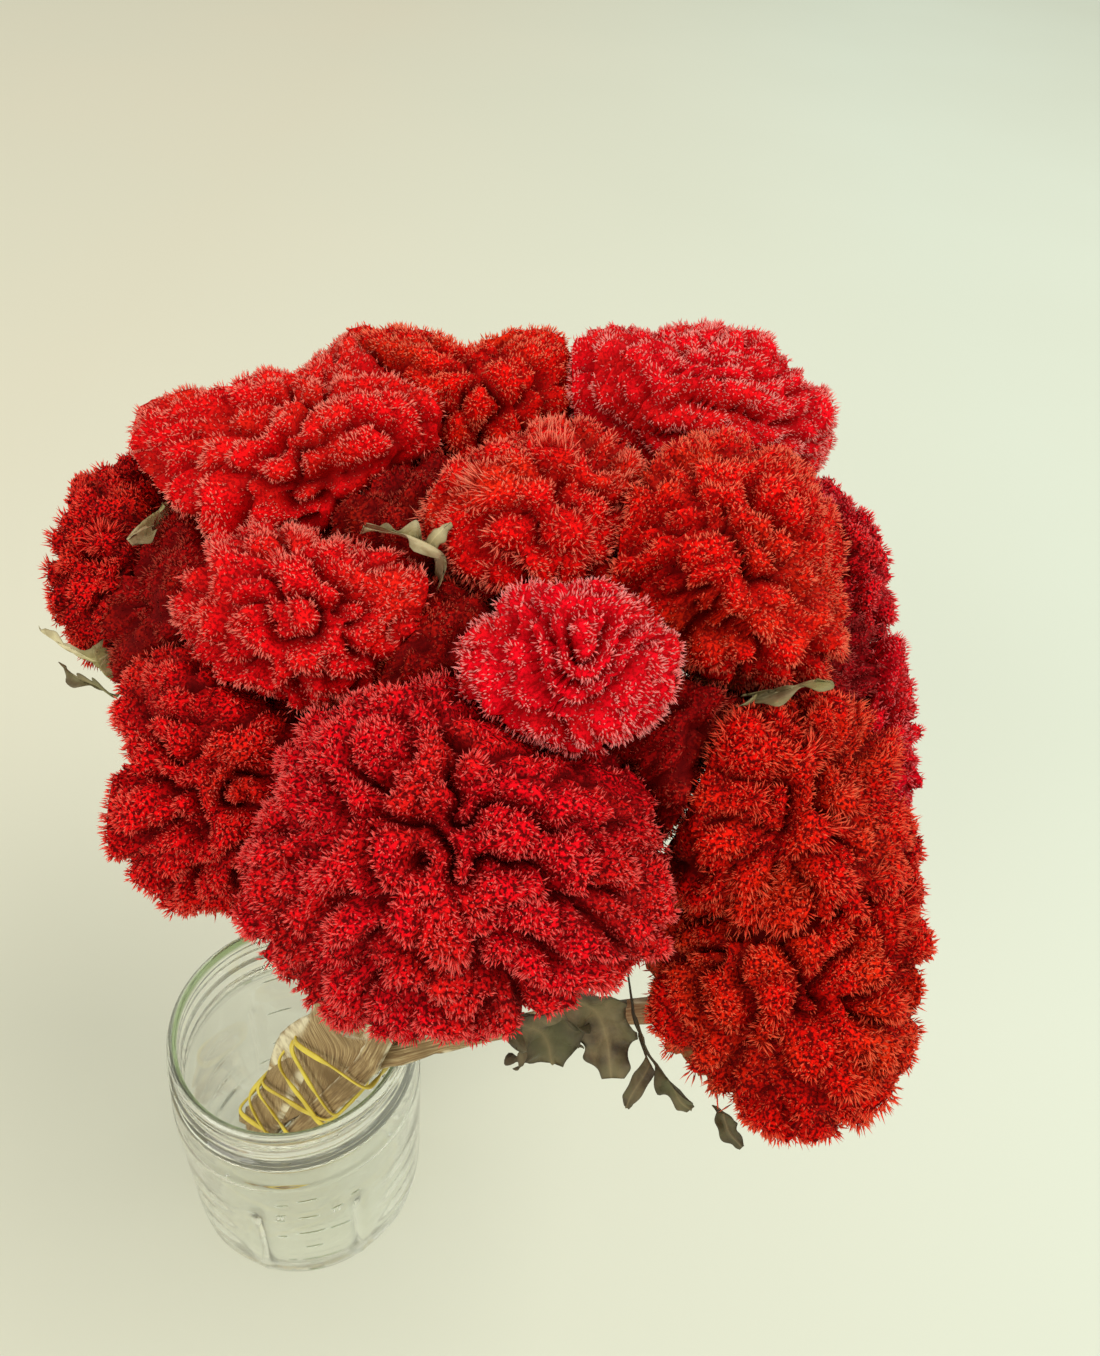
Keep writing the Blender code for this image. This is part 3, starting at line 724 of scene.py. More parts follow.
# radius and height of the wall: up its outside, then down its inside
OUTSIDE = [(0.01, 1.4), (24, 1.4), (31, 0.9), (34, 0.0), (37, 0.3), (39.6, 2.4), (41.6, 6.5), (43.2, 12),
           (BODY_R, 20), (BODY_R, 40), (BODY_R, 62), (BODY_R, 84), (43.4, 89), (42.3, 93.5), (41.5, 96.6),
           (41.3, 98.4), (42.3, 99.6), (42.7, 101.2), (42.2, 102.9), (41.1, 104), (40.8, 106), (40.7, 109),
           (40.6, 112), (40.5, 114.2), (40.0, 115.4), (40.4, 116.6), (40.9, 118.2), (40.6, 119.8),
           (39.6, 120.9)]
INSIDE = [(38.7, 120.9), (37.9, 119.9), (37.6, 118.0), (37.9, 112), (37.9, 100), (38.3, 94), (39.8, 88.5),
          (41, 83), (41, 60), (41, 40), (41, 22), (40, 14), (36.5, 8.2), (31, 5.9), (24, 5.4), (0.01, 5.0)]
OUTSIDE_RINGS, INSIDE_RINGS, JAR_TURNS = 170, 70, 160
THREAD_START, THREAD_PITCH, THREAD_HEIGHT = 106.2, 6.2, 1.5
# degrees round the jar, with the height of each ridge in millimetres
RIBS_AT, RIB_HEIGHT = (262.5, 310.5, 82.5, 130.5), 0.8
RIPPLES_AT, RIPPLE_HEIGHT, RIPPLE_LENGTH = (235, 335, 55, 155), 0.30, 14.5


def jar_rings():
    """The profile turned round Z, with the thread, ribs and ripples added to its outer radius.

    The thread is a bell curve round a height that climbs one pitch per turn, faded out at both ends.
    """
    outer, inner = smooth_line(OUTSIDE, OUTSIDE_RINGS), smooth_line(INSIDE, INSIDE_RINGS)
    profile = np.concatenate([outer, inner])
    turn = np.linspace(0, 2 * np.pi, JAR_TURNS, endpoint=False)
    r, z = profile[:, :1] + 0 * turn, profile[:, 1:] + 0 * turn
    degrees = np.degrees(turn)[None, :]
    is_outer = (np.arange(len(profile)) < len(outer))[:, None]
    climb = z - (THREAD_START + THREAD_PITCH * degrees / 360)
    thread = np.exp(-climb ** 2) + np.exp(-(climb + THREAD_PITCH) ** 2) * soft_step(200, 250, degrees)
    fade = soft_step(0, 30, degrees) * (1 - soft_step(335, 360, degrees))
    bump = THREAD_HEIGHT * thread * np.where(climb > -3, fade, 1) * ((z > 103.6) & (z < 115.6))

    def near(angle, width):
        """A bell curve round an angle."""
        gap = (degrees - angle + 180) % 360 - 180
        return np.exp(-(gap / width) ** 2)

    wall = soft_step(8, 14, z) * (1 - soft_step(62, 68, z))
    for angle in RIBS_AT:
        bump = bump + RIB_HEIGHT * near(angle, 2.2) * wall
    ripple = np.cos(z * 2 * np.pi / RIPPLE_LENGTH) * wall
    for angle in RIPPLES_AT:
        bump = bump + RIPPLE_HEIGHT * near(angle, 13) * ripple
    bump = bump + 0.12 * np.cos(np.radians(degrees * 3)) * soft_step(15, 30, z) * (1 - soft_step(80, 90, z))
    r = r + bump * is_outer
    return np.stack([r * np.cos(turn), r * np.sin(turn), np.maximum(z, 0)], -1)


MARK_ROWS, MARK_CORNERS, MARK_R = 10, 8, 0.42


def wall_mark(first, last, low, high):
    """Rings of a raised stroke on the jar's wall, from one angle and height to another, oval and tapered."""
    t = np.linspace(0, 1, MARK_ROWS)
    angle, z = np.radians(first + (last - first) * t), low + (high - low) * t
    taper = np.sqrt(np.clip(1 - (2 * t - 1) ** 6, 0.05, 1))
    out = np.stack([np.cos(angle), np.sin(angle), 0 * t], -1)
    middle = np.stack([BODY_R * out[:, 0], BODY_R * out[:, 1], z], -1)
    side = np.cross(unit(np.gradient(middle, axis=0)), out)
    corner = np.arange(MARK_CORNERS) * 2 * np.pi / MARK_CORNERS
    section = (np.cos(corner)[None, :, None] * side[:, None] * MARK_R
               + np.sin(corner)[None, :, None] * out[:, None] * MARK_R * 0.8)
    return middle[:, None] + section * taper[:, None, None]


# %% [markdown]
# Clear glass shows as bright rims and dark lines where it turns away, and looks green where the view passes
# through a lot of it. The tint is therefore deeper on the lip and in the base than on the wall. The level
# marks are raised strokes of the same glass.

# %% Glass
# the share of the view that passes straight through a wall
THINNED = 0.08


def glass_material(name, wall, thick):
    """Glass with one tint on the wall and a deeper one where the 'thick' value is high.

    Light that falls on other things passes straight through it, so the inside isn't left in the dark, and a
    share of the view does too, because a wall this thin hardly bends it.
    """
    material, tree, shader = new_material(name, 0.02, Transmission_Weight=1.0, IOR=1.46)
    tint = mix_colour(tree, value_of(tree, "thick"), linear(*wall), linear(*thick))
    plug(tree, tint, shader.inputs["Base Color"])
    path = add_node(tree, "ShaderNodeLightPath")
    through = sum_of(tree, "MAXIMUM", path.outputs["Is Shadow Ray"], path.outputs["Is Diffuse Ray"])
    through = sum_of(tree, "MAXIMUM", through, THINNED)
    clear = add_node(tree, "ShaderNodeBsdfTransparent")
    clear.inputs["Color"].default_value = (0.985, 0.99, 0.98, 1.0)
    both = add_node(tree, "ShaderNodeMixShader")
    plug(tree, through, both.inputs[0])
    plug(tree, shader.outputs[0], both.inputs[1])
    plug(tree, clear.outputs[0], both.inputs[2])
    plug(tree, both.outputs[0], tree.nodes["Material Output"].inputs["Surface"])
    return material


rings = jar_rings()
shape = ring_stack(rings)
height = shape[0][:, 2]
radius = np.hypot(shape[0][:, 0], shape[0][:, 1])
lip = soft_step(117.0, 119.8, height) * (1 - soft_step(38.6, 40.2, radius))
deep = lip + 0.1 * (1 - soft_step(3, 9, height))
make_piece("jar", shape, glass_material("Jar glass", (254, 255, 253), (120, 150, 88)),
           ("glass_jar",), {"thick": deep})
# each mark's first and last angle in degrees, and its first and last height
MARKS = [(-77, -67.5, 79.6, 79.6), (-77.7, -68, 65.6, 65.0), (-79, -66, 51.4, 51.2),
         (-76.4, -68.1, 38.1, 38), (-79, -59, 26.3, 25.6), (-77.2, -68.6, 14.7, 14.5),
         (-86.7, -80.6, 76.8, 77.2), (-87.6, -82.5, 68, 68.4), (-88, -83.5, 63.7, 63.8),
         (-62.7, -56.8, 67, 67.2), (-88, -83.8, 49.2, 49.5), (-85.5, -81.1, 26.3, 26.8),
         (-64.2, -54.3, 50.6, 49.6), (-100.6, -96.2, 67.6, 67.8), (-53, -48.6, 71.2, 71.8),
         (134, 128.8, 89, 88.7), (123.5, 110, 81.6, 81.4), (124, 110.5, 57.4, 57.3), (101, 94, 56.2, 56.5),
         (123.6, 110.6, 33.6, 33.4), (132.8, 126.5, 22.8, 22.2), (103.4, 95.4, 43.9, 44.1),
         (-86.5, -86.1, 64.4, 67.4), (-84.6, -84.3, 64.4, 67.4), (-61.5, -61.2, 63.2, 66.3),
         (-59, -58.7, 63.2, 66.3)]
marks = gather([ring_stack(wall_mark(*mark)) for mark in MARKS])
mark_tint = (196, 206, 186)
make_piece("jar_level_marks", marks, glass_material("Mark glass", mark_tint, mark_tint),
           (), {"thick": np.zeros(len(marks[0]))})
print("jar triangles:", added["jar"], "marks:", len(MARKS))

# %% [markdown]
# ## The stems
# Celosia stems are flat, ribbed and fibrous when dry. Each solid is a stack of rings of eight points, so the
# finished stem starts from them: the rings are found by walking the solid's edges up from the foot, and
# the middle and the two half widths of each ring are read off. A finer surface follows them with grooves.

# %% Read a stem's rings
# the foot and the mouth end of the bundle's middle line in the jar
FOOT, MOUTH = np.array([-20.0, 12.0, 8.0]), np.array([21.5, -4.5, 121.0])
BUNDLE_UP = unit(MOUTH - FOOT)
SECTION_POINTS = 8


def stem_sections(node):
    """Middle, broad half width and thin half width, as vectors, of every ring of a stem's solid.

    The first ring is the lowest points along the bundle. The next is what its points are joined to and hasn't
    been seen yet. A ring's widths are its reach along its two main directions.
    """
    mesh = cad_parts[node].data.copy()
    bm = bmesh.new()
    bm.from_mesh(mesh)
    bmesh.ops.remove_doubles(bm, verts=bm.verts, dist=1e-6)
    bm.verts.ensure_lookup_table()
    points = np.array([v.co[:] for v in bm.verts]) / MM
    edges = np.array([[v.index for v in edge.verts] for edge in bm.edges])
    bm.free()
    bpy.data.meshes.remove(mesh)
    joined = np.zeros((len(points), len(points)), bool)
    joined[edges[:, 0], edges[:, 1]] = joined[edges[:, 1], edges[:, 0]] = True
    ring = np.zeros(len(points), bool)
    ring[np.argsort(points @ BUNDLE_UP)[:SECTION_POINTS]] = True
    seen, sections, broad, thin = ring.copy(), [], None, None
    while ring.any():
        spots = points[ring]
        middle = spots.mean(0)
        _, _, axes = np.linalg.svd(spots - middle)
        if broad is not None:
            axes[0] *= np.sign(axes[0] @ broad) or 1
            axes[1] *= np.sign(axes[1] @ thin) or 1
        elif axes[0] @ ACROSS < 0:
            axes[0] *= -1
        broad, thin = axes[0], axes[1]
        half = np.abs((spots - middle) @ axes[:2].T).max(0)
        sections.append([middle, broad * half[0], thin * half[1]])
        ring = joined[ring].any(0) & ~seen
        seen |= ring
    return np.array(sections)


print("rings of one stem:", len(stem_sections("stem_front")))

# %% [markdown]
# The stem's last ring ends just under its crest's smooth solid, but the finished crest has deep crevices, so
# the finished stem stops a little lower. Its foot is jagged, as a torn dry stem's is. The grooves and a few
# deeper splits run lengthwise and wander.

# %% Stem surface
STEM_TURNS, STEM_ROW_MM = 30, 2.8
# how far the finished stem stops below its last ring, and how much it has narrowed there
STEM_SHORT, STEM_TOP_SHARE = 8.0, 0.8
GROOVE, FINE_GROOVE, SPLIT, SPLIT_WIDE = 0.20, 0.09, 0.55, 0.13


def stem_surface(node, seed):
    """Shape and values of a stem: rings along a smooth line, grooved, with a torn foot.

    A ring is a squared oval. The grooves are a wandering field that is stretched along the stem, and a split
    is a narrow dip on another field's zero line.
    """
    sections = stem_sections(node)
    sections[-1, 0] -= unit(sections[-1, 0] - sections[-2, 0]) * STEM_SHORT
    sections[-1, 1:] *= STEM_TOP_SHARE
    length = np.linalg.norm(np.diff(sections[:, 0], axis=0), axis=1).sum()
    rows = int(length / STEM_ROW_MM)
    middle, broad, thin = (smooth_line(sections[:, k], 60 * len(sections)) for k in range(3))
    passed = np.concatenate([[0], np.cumsum(np.linalg.norm(np.diff(middle, axis=0), axis=1))])
    at = np.linspace(0, passed[-1], rows)
    middle, broad, thin = (np.stack([np.interp(at, passed, part[:, k]) for k in range(3)], -1)
                           for part in (middle, broad, thin))
    turn = np.linspace(0, 2 * np.pi, STEM_TURNS, endpoint=False)
    x, y = np.cos(turn), np.sin(turn)
    x, y = np.sign(x) * np.abs(x) ** 0.85, np.sign(y) * np.abs(y) ** 0.7
    wide = np.linalg.norm(broad, axis=-1, keepdims=True)
    lengthwise = np.stack(np.broadcast_arrays(x * wide, y * 3.0 + seed, at[:, None] * 0.06), -1)
    groove = wander(lengthwise, 3.4, seed) * GROOVE + wander(lengthwise, 1.5, seed + 1) * FINE_GROOVE
    split = -SPLIT * np.exp(-(wander(lengthwise, 7.0, seed + 2) / SPLIT_WIDE) ** 2)
    out = unit(broad[:, None] * x[:, None] / wide[:, None] ** 2 + thin[:, None] * y[:, None]
               / (thin ** 2).sum(-1)[:, None, None])
    rings = middle[:, None] + broad[:, None] * x[:, None] + thin[:, None] * y[:, None]
    rings += out * (groove + split - 0.18)[..., None]
    along = unit(np.gradient(middle, axis=0))
    jag = 2.2 * wander(np.stack([x * wide[0, 0], y * 2, 0 * x], -1), 4.0, seed + 4) + 2.4
    torn = (1 - soft_step(0, 12, at))[:, None] * np.clip(jag, 0, 6)[None]
    rings += along[:, None] * torn[..., None]
    fields = {"across": x * wide, "through": y * 2.5, "along": at[:, None],
              "rim": soft_step(0.80, 0.98, np.abs(x)), "top": soft_step(0.60, 0.97, at / at[-1])[:, None]}
    values = {name: np.concatenate([np.broadcast_to(field, (rows, STEM_TURNS)).ravel(), np.zeros(2)])
              for name, field in fields.items()}
    return ring_stack(rings), values, (middle, broad, thin, along, at)


# %% [markdown]
# A dry stem is a bundle of strands, brown in the grooves and straw-coloured where they are worn. Noise that
# is read from the place across and along the stem, squeezed lengthwise, gives streaks that follow every bend.

# %% Stem material
# the streaks' colours, from where the noise is low to where it is high
STREAKS = [(0.28, (74, 52, 30)), (0.42, (128, 100, 64)), (0.54, (166, 138, 94)), (0.70, (206, 184, 138))]


def stem_material():
    """Dry stem: streaks along it from dark brown to straw, paler on the rim and redder near the flower."""
    material, tree, shader = new_material("Dry stem", 0.72, Specular_IOR_Level=0.3)
    spot = add_node(tree, "ShaderNodeCombineXYZ")
    for name, axis, squeeze in (("across", "X", 1.0), ("through", "Y", 1.0), ("along", "Z", 0.035)):
        plug(tree, sum_of(tree, "MULTIPLY", value_of(tree, name), squeeze), spot.inputs[axis])
    streak = add_node(tree, "ShaderNodeTexNoise")
    plug(tree, spot.outputs[0], streak.inputs["Vector"])
    for name, value in (("Scale", 1.7), ("Detail", 5.0), ("Roughness", 0.65)):
        streak.inputs[name].default_value = value
    ramp = add_node(tree, "ShaderNodeValToRGB")
    plug(tree, streak.outputs["Fac"], ramp.inputs[0])
    stops = ramp.color_ramp.elements
    for stop, (position, colour) in zip(stops, (STREAKS[0], STREAKS[-1])):
        stop.position, stop.color = position, linear(*colour)
    for position, colour in STREAKS[1:-1]:
        stops.new(position).color = linear(*colour)
    colour = mix_colour(tree, patches(tree, 55, 0.42, 0.72), ramp.outputs["Color"], linear(118, 92, 56))
    pale = sum_of(tree, "MULTIPLY", value_of(tree, "rim"), patches(tree, 140, 0.40, 0.60))
    colour = mix_colour(tree, pale, colour, linear(226, 214, 180))
    near_flower = sum_of(tree, "MULTIPLY", value_of(tree, "top"), 0.75)
    colour = mix_colour(tree, near_flower, colour, linear(112, 44, 30))
    plug(tree, colour, shader.inputs["Base Color"])
    add_bump(tree, shader, streak.outputs["Fac"], 0.6, 0.0004)
    return material


# %% Build the stems
dry_stem = stem_material()
bundle = {}
for number, node in enumerate(sorted(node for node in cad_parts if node.startswith("stem_"))):
    shape, values, bundle[node] = stem_surface(node, 40 + 7 * number)
    make_piece(node + "_fibrous", shape, dry_stem, (node,), values)
print("stems:", len(bundle), "triangles:", sum(added[node + "_fibrous"] for node in bundle))

# %% [markdown]
# Where the stems are split, slivers of pale fibre stand off their edges, and their feet are frayed. These are
# the same closed lances as the florets, only longer and laid along the stem.

# %% Frayed fibres
# millimetres along the stem between which the fibres start, how many, and whether they point down
FRAYED = ((0, 9, 16, True), (10, 105, 10, False))
FIBRE_R = 0.32
# how low and how far out a fibre's tip may reach inside the jar
FIBRE_LOW, FIBRE_OUT = 6.5, 36.5


def frayed_fibres(seed):
    """Lances across the feet and on the edges of the stems, leaning along them and a little outward."""
    local = np.random.default_rng(seed)
    roots, leans, lengths = [], [], []
    for middle, broad, thin, along, at in bundle.values():
        for low, high, count, down in FRAYED:
            k = local.integers(np.searchsorted(at, low), np.searchsorted(at, high), count)
            sign = local.choice([-1.0, 1.0], count)[:, None]
            share = np.where(down, local.uniform(-1, 1, (count, 1)), sign * 0.97)
            roots.append(middle[k] + broad[k] * share + thin[k] * local.uniform(-0.6, 0.6, (count, 1)))
            lean = along[k] * (-1 if down else 1) + unit(broad[k]) * sign * (0.1 if down else 0.14)
            leans.append(unit(lean + 0.10 * local.normal(size=(count, 3))))
            lengths.append(local.uniform(2.0, 5.0, count) if down else local.uniform(3.0, 8.0, count))
    root, lean, length = np.concatenate(roots), np.concatenate(leans), np.concatenate(lengths)
    tip = root + lean * length[:, None]
    keep = (tip[:, 2] > FIBRE_LOW) & (np.hypot(tip[:, 0], tip[:, 1]) < FIBRE_OUT)
    return lances(root[keep], lean[keep], length[keep], FIBRE_R, seed)


pale_fibre, fibre_tree, fibre_shader = new_material("Pale fibre", 0.8)
fibre_colour = mix_colour(fibre_tree, patches(fibre_tree, 120, 0.4, 0.6), linear(206, 190, 150),
                          linear(150, 122, 80))
plug(fibre_tree, fibre_colour, fibre_shader.inputs["Base Color"])
make_piece("stem_frayed_fibres", frayed_fibres(5), pale_fibre)
print("fibre triangles:", added["stem_frayed_fibres"])

# %% [markdown]
# ## The rubber bands
# Thin yellow bands hold the bundle. A band is a flat cord pulled round a boxy bundle: it bends sharply at the
# corners, climbs on one side and is slightly twisted, so that light catches its edge here and there. Its
# path is a superellipse round the bundle's middle line, and a flat oval is carried along it and turned.

# %% Bands
# the bundle's broad direction, square to its middle line, and the one through it
broadly = np.array([0.805, -0.467, -0.364])
BUNDLE_BROAD = unit(broadly - BUNDLE_UP * (broadly @ BUNDLE_UP))
BUNDLE_THROUGH = np.cross(BUNDLE_UP, BUNDLE_BROAD)
# the bands' half reach in those two directions, and the power that squares it
HALF_W, HALF_T, BOXY = 14.6, 9.3, 7
BAND_TURNS, BAND_CORNERS, BAND_HALF_W, BAND_HALF_T = 132, 12, 0.95, 0.45
# name: height on the bundle, climb across, climb through, how much looser than tight, solid it stands for
BANDS = {
    "lower": (30.0, 8.0, 3.0, 0.0, "band_lower"),
    "lower_slanted": (49.0, -6.0, 3.0, 0.0, "band_lower_slanted"),
    "middle": (72.0, 12.0, 3.0, 0.0, "band_middle"),
    "upper": (97.0, -9.0, 3.0, 0.0, "band_upper"),
    "slack_low": (38.0, -12.0, 10.0, 0.5, None),
    "crossed": (88.0, -7.0, 8.0, 0.4, None),
    "crossed_high": (110.0, 8.0, -8.0, 0.4, None),
}


def band_rings(height, climb_across, climb_through, loose, seed):
    """Rings of a flat oval carried round the bundle, turned a little back and forth.

    The path's reach is the summed powers of its two shares, to the minus one over that power.
    """
    turn = np.linspace(0, 2 * np.pi, BAND_TURNS, endpoint=False)
    x, y = np.cos(turn), np.sin(turn)
    powers = (np.abs(x) / (HALF_W + loose)) ** BOXY + (np.abs(y) / (HALF_T + loose)) ** BOXY
    reach = powers ** (-1 / BOXY)
    x, y = x * reach, y * reach
    share = (height - FOOT[2]) / (MOUTH[2] - FOOT[2])
    climb = climb_across * x / HALF_W + climb_through * y / HALF_T + 0.5 * np.sin(3 * turn + seed)
    path = FOOT + (MOUTH - FOOT) * share + x[:, None] * BUNDLE_BROAD + y[:, None] * BUNDLE_THROUGH
    path = path + climb[:, None] * BUNDLE_UP
    ahead = unit(np.roll(path, -1, 0) - np.roll(path, 1, 0))
    out = unit(x[:, None] * BUNDLE_BROAD / HALF_W ** 2 + y[:, None] * BUNDLE_THROUGH / HALF_T ** 2)
    out = unit(out - ahead * (out * ahead).sum(-1, keepdims=True))
    side = np.cross(ahead, out)
    twist = 0.5 * np.sin(2 * turn + 2.1 * seed) + 0.25 * np.sin(5 * turn + seed)
    flat = side * np.cos(twist)[:, None] + out * np.sin(twist)[:, None]
    thin = np.cross(ahead, flat)
    corner = np.arange(BAND_CORNERS) * 2 * np.pi / BAND_CORNERS
    x, y = np.cos(corner), np.sin(corner)
    x, y = np.sign(x) * np.abs(x) ** 0.6 * BAND_HALF_W, np.sign(y) * np.abs(y) ** 0.7 * BAND_HALF_T
    return path[:, None] + flat[:, None] * x[None, :, None] + thin[:, None] * y[None, :, None]


def band_material():
    """Aged yellow rubber: duller patches, a faint waxy gloss."""
    material, tree, shader = new_material("Yellow rubber", 0.42, Coat_Weight=0.15)
    colour = mix_colour(tree, patches(tree, 90, 0.38, 0.68), linear(226, 202, 66), linear(186, 156, 40))
    plug(tree, colour, shader.inputs["Base Color"])
    add_bump(tree, shader, patches(tree, 900, 0.3, 0.7), 0.25, 0.0002)
    return material


rubber = band_material()
for number, (name, (height, across, through, loose, node)) in enumerate(BANDS.items()):
    rings = band_rings(height, across, through, loose, number)
    make_piece("band_" + name + "_twisted", ring_stack(rings, closed=True), rubber,
               (node,) if node else ())
print("bands:", len(BANDS))

# %% [markdown]
# ## The dry leaves
# A few leaves are left among the heads: pale and papery in the middle, dark and shrivelled under them. Each
# starts on the line of its solid, and where a head would hide it, it is moved out. Across it the blade curls
# and crumples, along it the width swells and narrows in lobes, and a rib runs down the middle. Top and bottom
# are one closed ring, so it stays shut.

# %% Leaves
# name: points of the middle line, half width, twist in degrees, depth of the lobes, paleness from 0 to 1
LEAVES = {
    "dark_broad": ([(74, -60, 246), (80, -55, 236), (83, -54, 229), (85, -57, 224)], 9.5, 20, 0.18, 0.10),
    "dark_hanging": ([(84, -52, 247), (93, -49, 237), (97, -52, 229), (99, -58, 223)], 7.0, -20, 0.18, 0.15),
    "dark_side": ([(107, -28, 238), (108, -38, 228), (113, -50, 220), (117, -55, 212), (121, -56, 208)],
                  3.8, 40, 0.25, 0.15),
    "curled_tip": ([(109.5, -45.3, 225.3), (108, -53.5, 222.5), (105, -59, 219), (104, -61, 215)],
                   2.1, 50, 0.10, 0.10),
    "under_right": ([(128, -53, 211), (130, -59, 207), (134, -63, 206)], 2.5, 20, 0.15, 0.15),
    "pale_crinkled": ([(47, 21, 309), (40, 17, 311), (33, 17, 312), (24, 17, 313)], 7.0, 25, 0.25, 0.95),
    "pale_tip": ([(43, 22, 310), (45, 20, 317), (48, 19, 322)], 2.3, 60, 0.10, 0.90),
    "olive_curled": ([(113, -3, 292), (120, -4, 297), (127, -4, 300), (134, -2, 305)], 6.5, 20, 0.20, 0.82),
    "far_left_curled": ([(-38, 33, 259), (-42, 32, 263), (-48, 32, 266), (-58, 32, 267)],
                        4.0, 70, 0.15, 0.95),
    "far_left_low": ([(-43, 31, 256), (-48, 27, 253), (-55, 26, 252), (-61, 29, 253)], 5.2, 30, 0.20, 0.50),
    "left_pale": ([(-30.5, 44.5, 275), (-30.5, 42.3, 280), (-32, 41, 282), (-34, 37, 281)],
                  3.1, 30, 0.10, 0.95),
}
LEAF_ROWS, LEAF_CELLS, LEAF_THICK = 48, 10, 0.18
# how far a leaf stays off a head's skin, so that it shows over the florets
LEAF_CLEAR = 2.6


def clear_of_crests(points):
    """Points moved straight out of any crest that they lie in or too close to."""
    for _ in range(2):
        for name, entry in CRESTS.items():
            away = points - np.array(entry[0], float)
            far = np.linalg.norm(away, axis=-1)
            near = far < max(entry[1]) * 1.3
            least = crest_reach(name, unit(away[near]))[0] + LEAF_CLEAR
            push = np.maximum(least / np.maximum(far[near], 1e-6), 1.0)
            points[near] = np.array(entry[0], float) + away[near] * push[:, None]
    return points


def leaf_surface(name, seed):
    """Shape and values of a leaf: the curled, crumpled blade, and the same blade again a little below it.

    The half width is a sine along the leaf times a slow wave for the lobes. The blade is lifted by two
    wandering fields, let down with the square of the distance from its rib, and grooved at the rib.
    """
    line, half_width, twist, lobes, _ = LEAVES[name]
    middle = smooth_line(line, LEAF_ROWS)
    t = np.linspace(0, 1, LEAF_ROWS)
    ahead = unit(np.gradient(middle, axis=0))
    flat = unit(np.cross(INTO, ahead))
    angle = np.radians(twist) * (t - 0.4)
    wide = flat * np.cos(angle)[:, None] + np.cross(ahead, flat) * np.sin(angle)[:, None]
    face = np.cross(ahead, wide)
    swell = 0.18 + 0.82 * np.sin(np.pi * (0.06 + 0.88 * t))
    side = np.linspace(-1, 1, LEAF_CELLS + 1)
    lobe = 1 + lobes * np.cos(2 * np.pi * (3.2 * t[:, None] + 0.3 * np.sign(side)) + seed)
    half = half_width * swell[:, None] * lobe
    flat_spot = middle[:, None] + wide[:, None] * (side * half)[..., None]
    crumple = wander(flat_spot, 7.0, seed) * 0.28 * half_width + wander(flat_spot, 3.2, seed + 1) * 0.45
    lift = crumple * np.abs(side) ** 0.7 - 0.40 * half * side ** 2 - 0.5 * np.exp(-(side / 0.14) ** 2)
    blade = flat_spot + face[:, None] * lift[..., None]
    blade = clear_of_crests(blade.reshape(-1, 3)).reshape(blade.shape)
    normal = unit(np.cross(np.gradient(blade, axis=0), np.gradient(blade, axis=1)))
    thick = LEAF_THICK * (1 - 0.8 * np.abs(side) ** 4)[None, :, None]
    top, bottom = blade - normal * thick, blade + normal * thick
    rings = np.concatenate([top, bottom[:, ::-1]], 1)
    off_rib = np.concatenate([np.abs(side), np.abs(side[::-1])])
    off_rib = np.concatenate([np.broadcast_to(off_rib, rings.shape[:2]).ravel(), np.zeros(2)])
    return ring_stack(rings), {"side": off_rib}


def leaf_material(name, pale):
    """Dry leaf: olive to brown blotches, a lighter rib and a browner rim, all paler when the leaf is."""
    material, tree, shader = new_material("Dry leaf " + name, 0.7)
    light = between(pale, [212, 200, 156], [110, 94, 60])
    dark = between(pale, [142, 122, 80], [56, 46, 30])
    green = between(pale, [164, 158, 98], [76, 72, 42])
    base = mix_colour(tree, patches(tree, 130, 0.38, 0.62, 5.0), linear(*light), linear(*dark))
    base = mix_colour(tree, patches(tree, 60, 0.45, 0.60), base, linear(*green))
    rib = sum_of(tree, "POWER", sum_of(tree, "SUBTRACT", 1.0, value_of(tree, "side"), True), 9.0)
    base = mix_colour(tree, sum_of(tree, "MULTIPLY", rib, 0.7), base, linear(*(light * 1.12).clip(0, 255)))
    rim = sum_of(tree, "MULTIPLY", sum_of(tree, "POWER", value_of(tree, "side"), 5.0), 0.6)
    base = mix_colour(tree, rim, base, linear(*(dark * 0.8)))
    plug(tree, base, shader.inputs["Base Color"])
    add_bump(tree, shader, patches(tree, 420, 0.3, 0.7, 6.0), 0.5, 0.0005)
    return material


for number, (name, (*_, pale)) in enumerate(LEAVES.items()):
    shape, values = leaf_surface(name, 300 + 3 * number)
    make_piece("leaf_" + name + "_crumpled", shape, leaf_material(name, pale),
               ("leaf_" + name,), values)
print("leaves:", len(LEAVES))

# %% [markdown]
# ## The stage
# The photo was taken against plain pale paper in soft daylight, a little warmer on the left. A wide floor,
# one large soft lamp from above on the right, a weaker one from the front left and an even pale sky give the
# same light, with faint shadows.

# %% Floor
# the painted light drift runs between two places across the floor, in metres: darker and warmer at the
# first, brighter and cooler at the second
LIGHT_DRIFT_FROM, LIGHT_DRIFT_TO = -0.35, 0.45
FLOOR_HALF_W, FLOOR_NEAR, FLOOR_FAR = 4.0, -2.5, 6.5


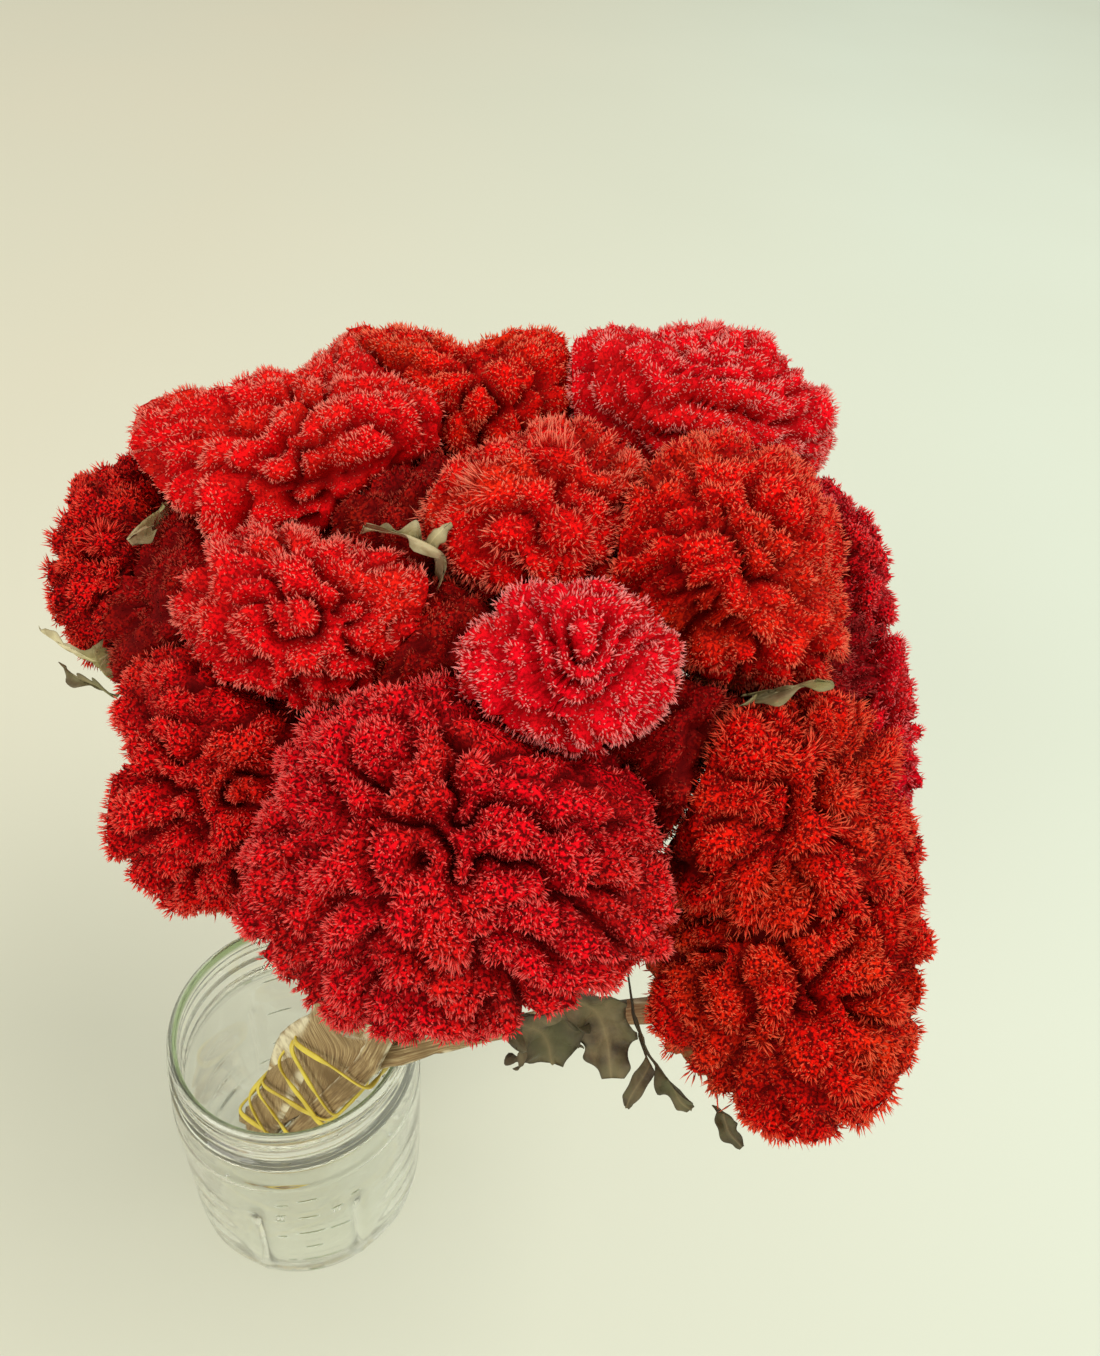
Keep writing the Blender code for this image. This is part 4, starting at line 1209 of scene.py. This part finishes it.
def paper_material():
    """Matt paper with painted light: darker and warmer on the left, brighter and cooler on the right, with a
    few large dull patches.
    """
    material, tree, shader = new_material("Pale paper", 0.9)
    spot, split = add_node(tree, "ShaderNodeTexCoord"), add_node(tree, "ShaderNodeSeparateXYZ")
    plug(tree, spot.outputs["Object"], split.inputs[0])
    light_drift = add_node(tree, "ShaderNodeMapRange")
    for name, value in (("Value", split.outputs["X"]), ("From Min", LIGHT_DRIFT_FROM), ("From Max", LIGHT_DRIFT_TO)):
        plug(tree, value, light_drift.inputs[name])
    # painted light: the paper's colour brightens from left to right, as the light from the right does
    colour = mix_colour(tree, light_drift.outputs["Result"], linear(216, 209, 187), linear(216, 223, 207))
    dull = sum_of(tree, "MULTIPLY", patches(tree, 1.2, 0.3, 0.7), 0.4)
    plug(tree, mix_colour(tree, dull, colour, linear(206, 209, 190)), shader.inputs["Base Color"])
    return material


floor_mesh = bpy.data.meshes.new("floor")
floor_mesh.from_pydata([(-FLOOR_HALF_W, FLOOR_NEAR, 0), (FLOOR_HALF_W, FLOOR_NEAR, 0),
                        (FLOOR_HALF_W, FLOOR_FAR, 0), (-FLOOR_HALF_W, FLOOR_FAR, 0)], [], [(0, 1, 2, 3)])
floor_mesh.materials.append(paper_material())
floor = bpy.data.objects.new("floor", floor_mesh)
bpy.context.collection.objects.link(floor)
print("floor reaches", FLOOR_FAR, "m back")


# %% Light
def soft_lamp(name, place, aim, size, power, tint):
    """A square area lamp at a place, turned to aim at a point. Its minus Z axis shines."""
    lamp = bpy.data.lights.new(name, "AREA")
    lamp.size, lamp.energy, lamp.color = size, power, tint
    holder = bpy.data.objects.new(name, lamp)
    bpy.context.collection.objects.link(holder)
    back = unit(np.array(place) - np.array(aim))
    side = unit(np.cross([0, 0, 1.0], back))
    turned = Matrix(np.column_stack([side, np.cross(back, side), back]).tolist()).to_4x4()
    holder.matrix_world = Matrix.Translation(place) @ turned


soft_lamp("fill", (-1.6, -2.2, 1.6), (0.05, 0.0, 0.15), 1.8, 36.0, (1.0, 0.99, 0.96))
soft_lamp("window", (1.9, -0.2, 3.0), (0.05, 0.0, 0.2), 2.0, 54.0, (1.0, 0.985, 0.95))
sky = bpy.data.worlds.new("sky")
sky.use_nodes = True
background = sky.node_tree.nodes["Background"]
background.inputs["Color"].default_value = (0.93, 0.95, 0.88, 1.0)
background.inputs["Strength"].default_value = 0.79
bpy.context.scene.world = sky
bpy.context.scene.view_settings.view_transform = "Standard"
print("lamps:", len(bpy.data.lights))

# %% [markdown]
# The last cell prints how many triangles were added.

# %% Count the added triangles
print("added triangles:", sum(added.values()))
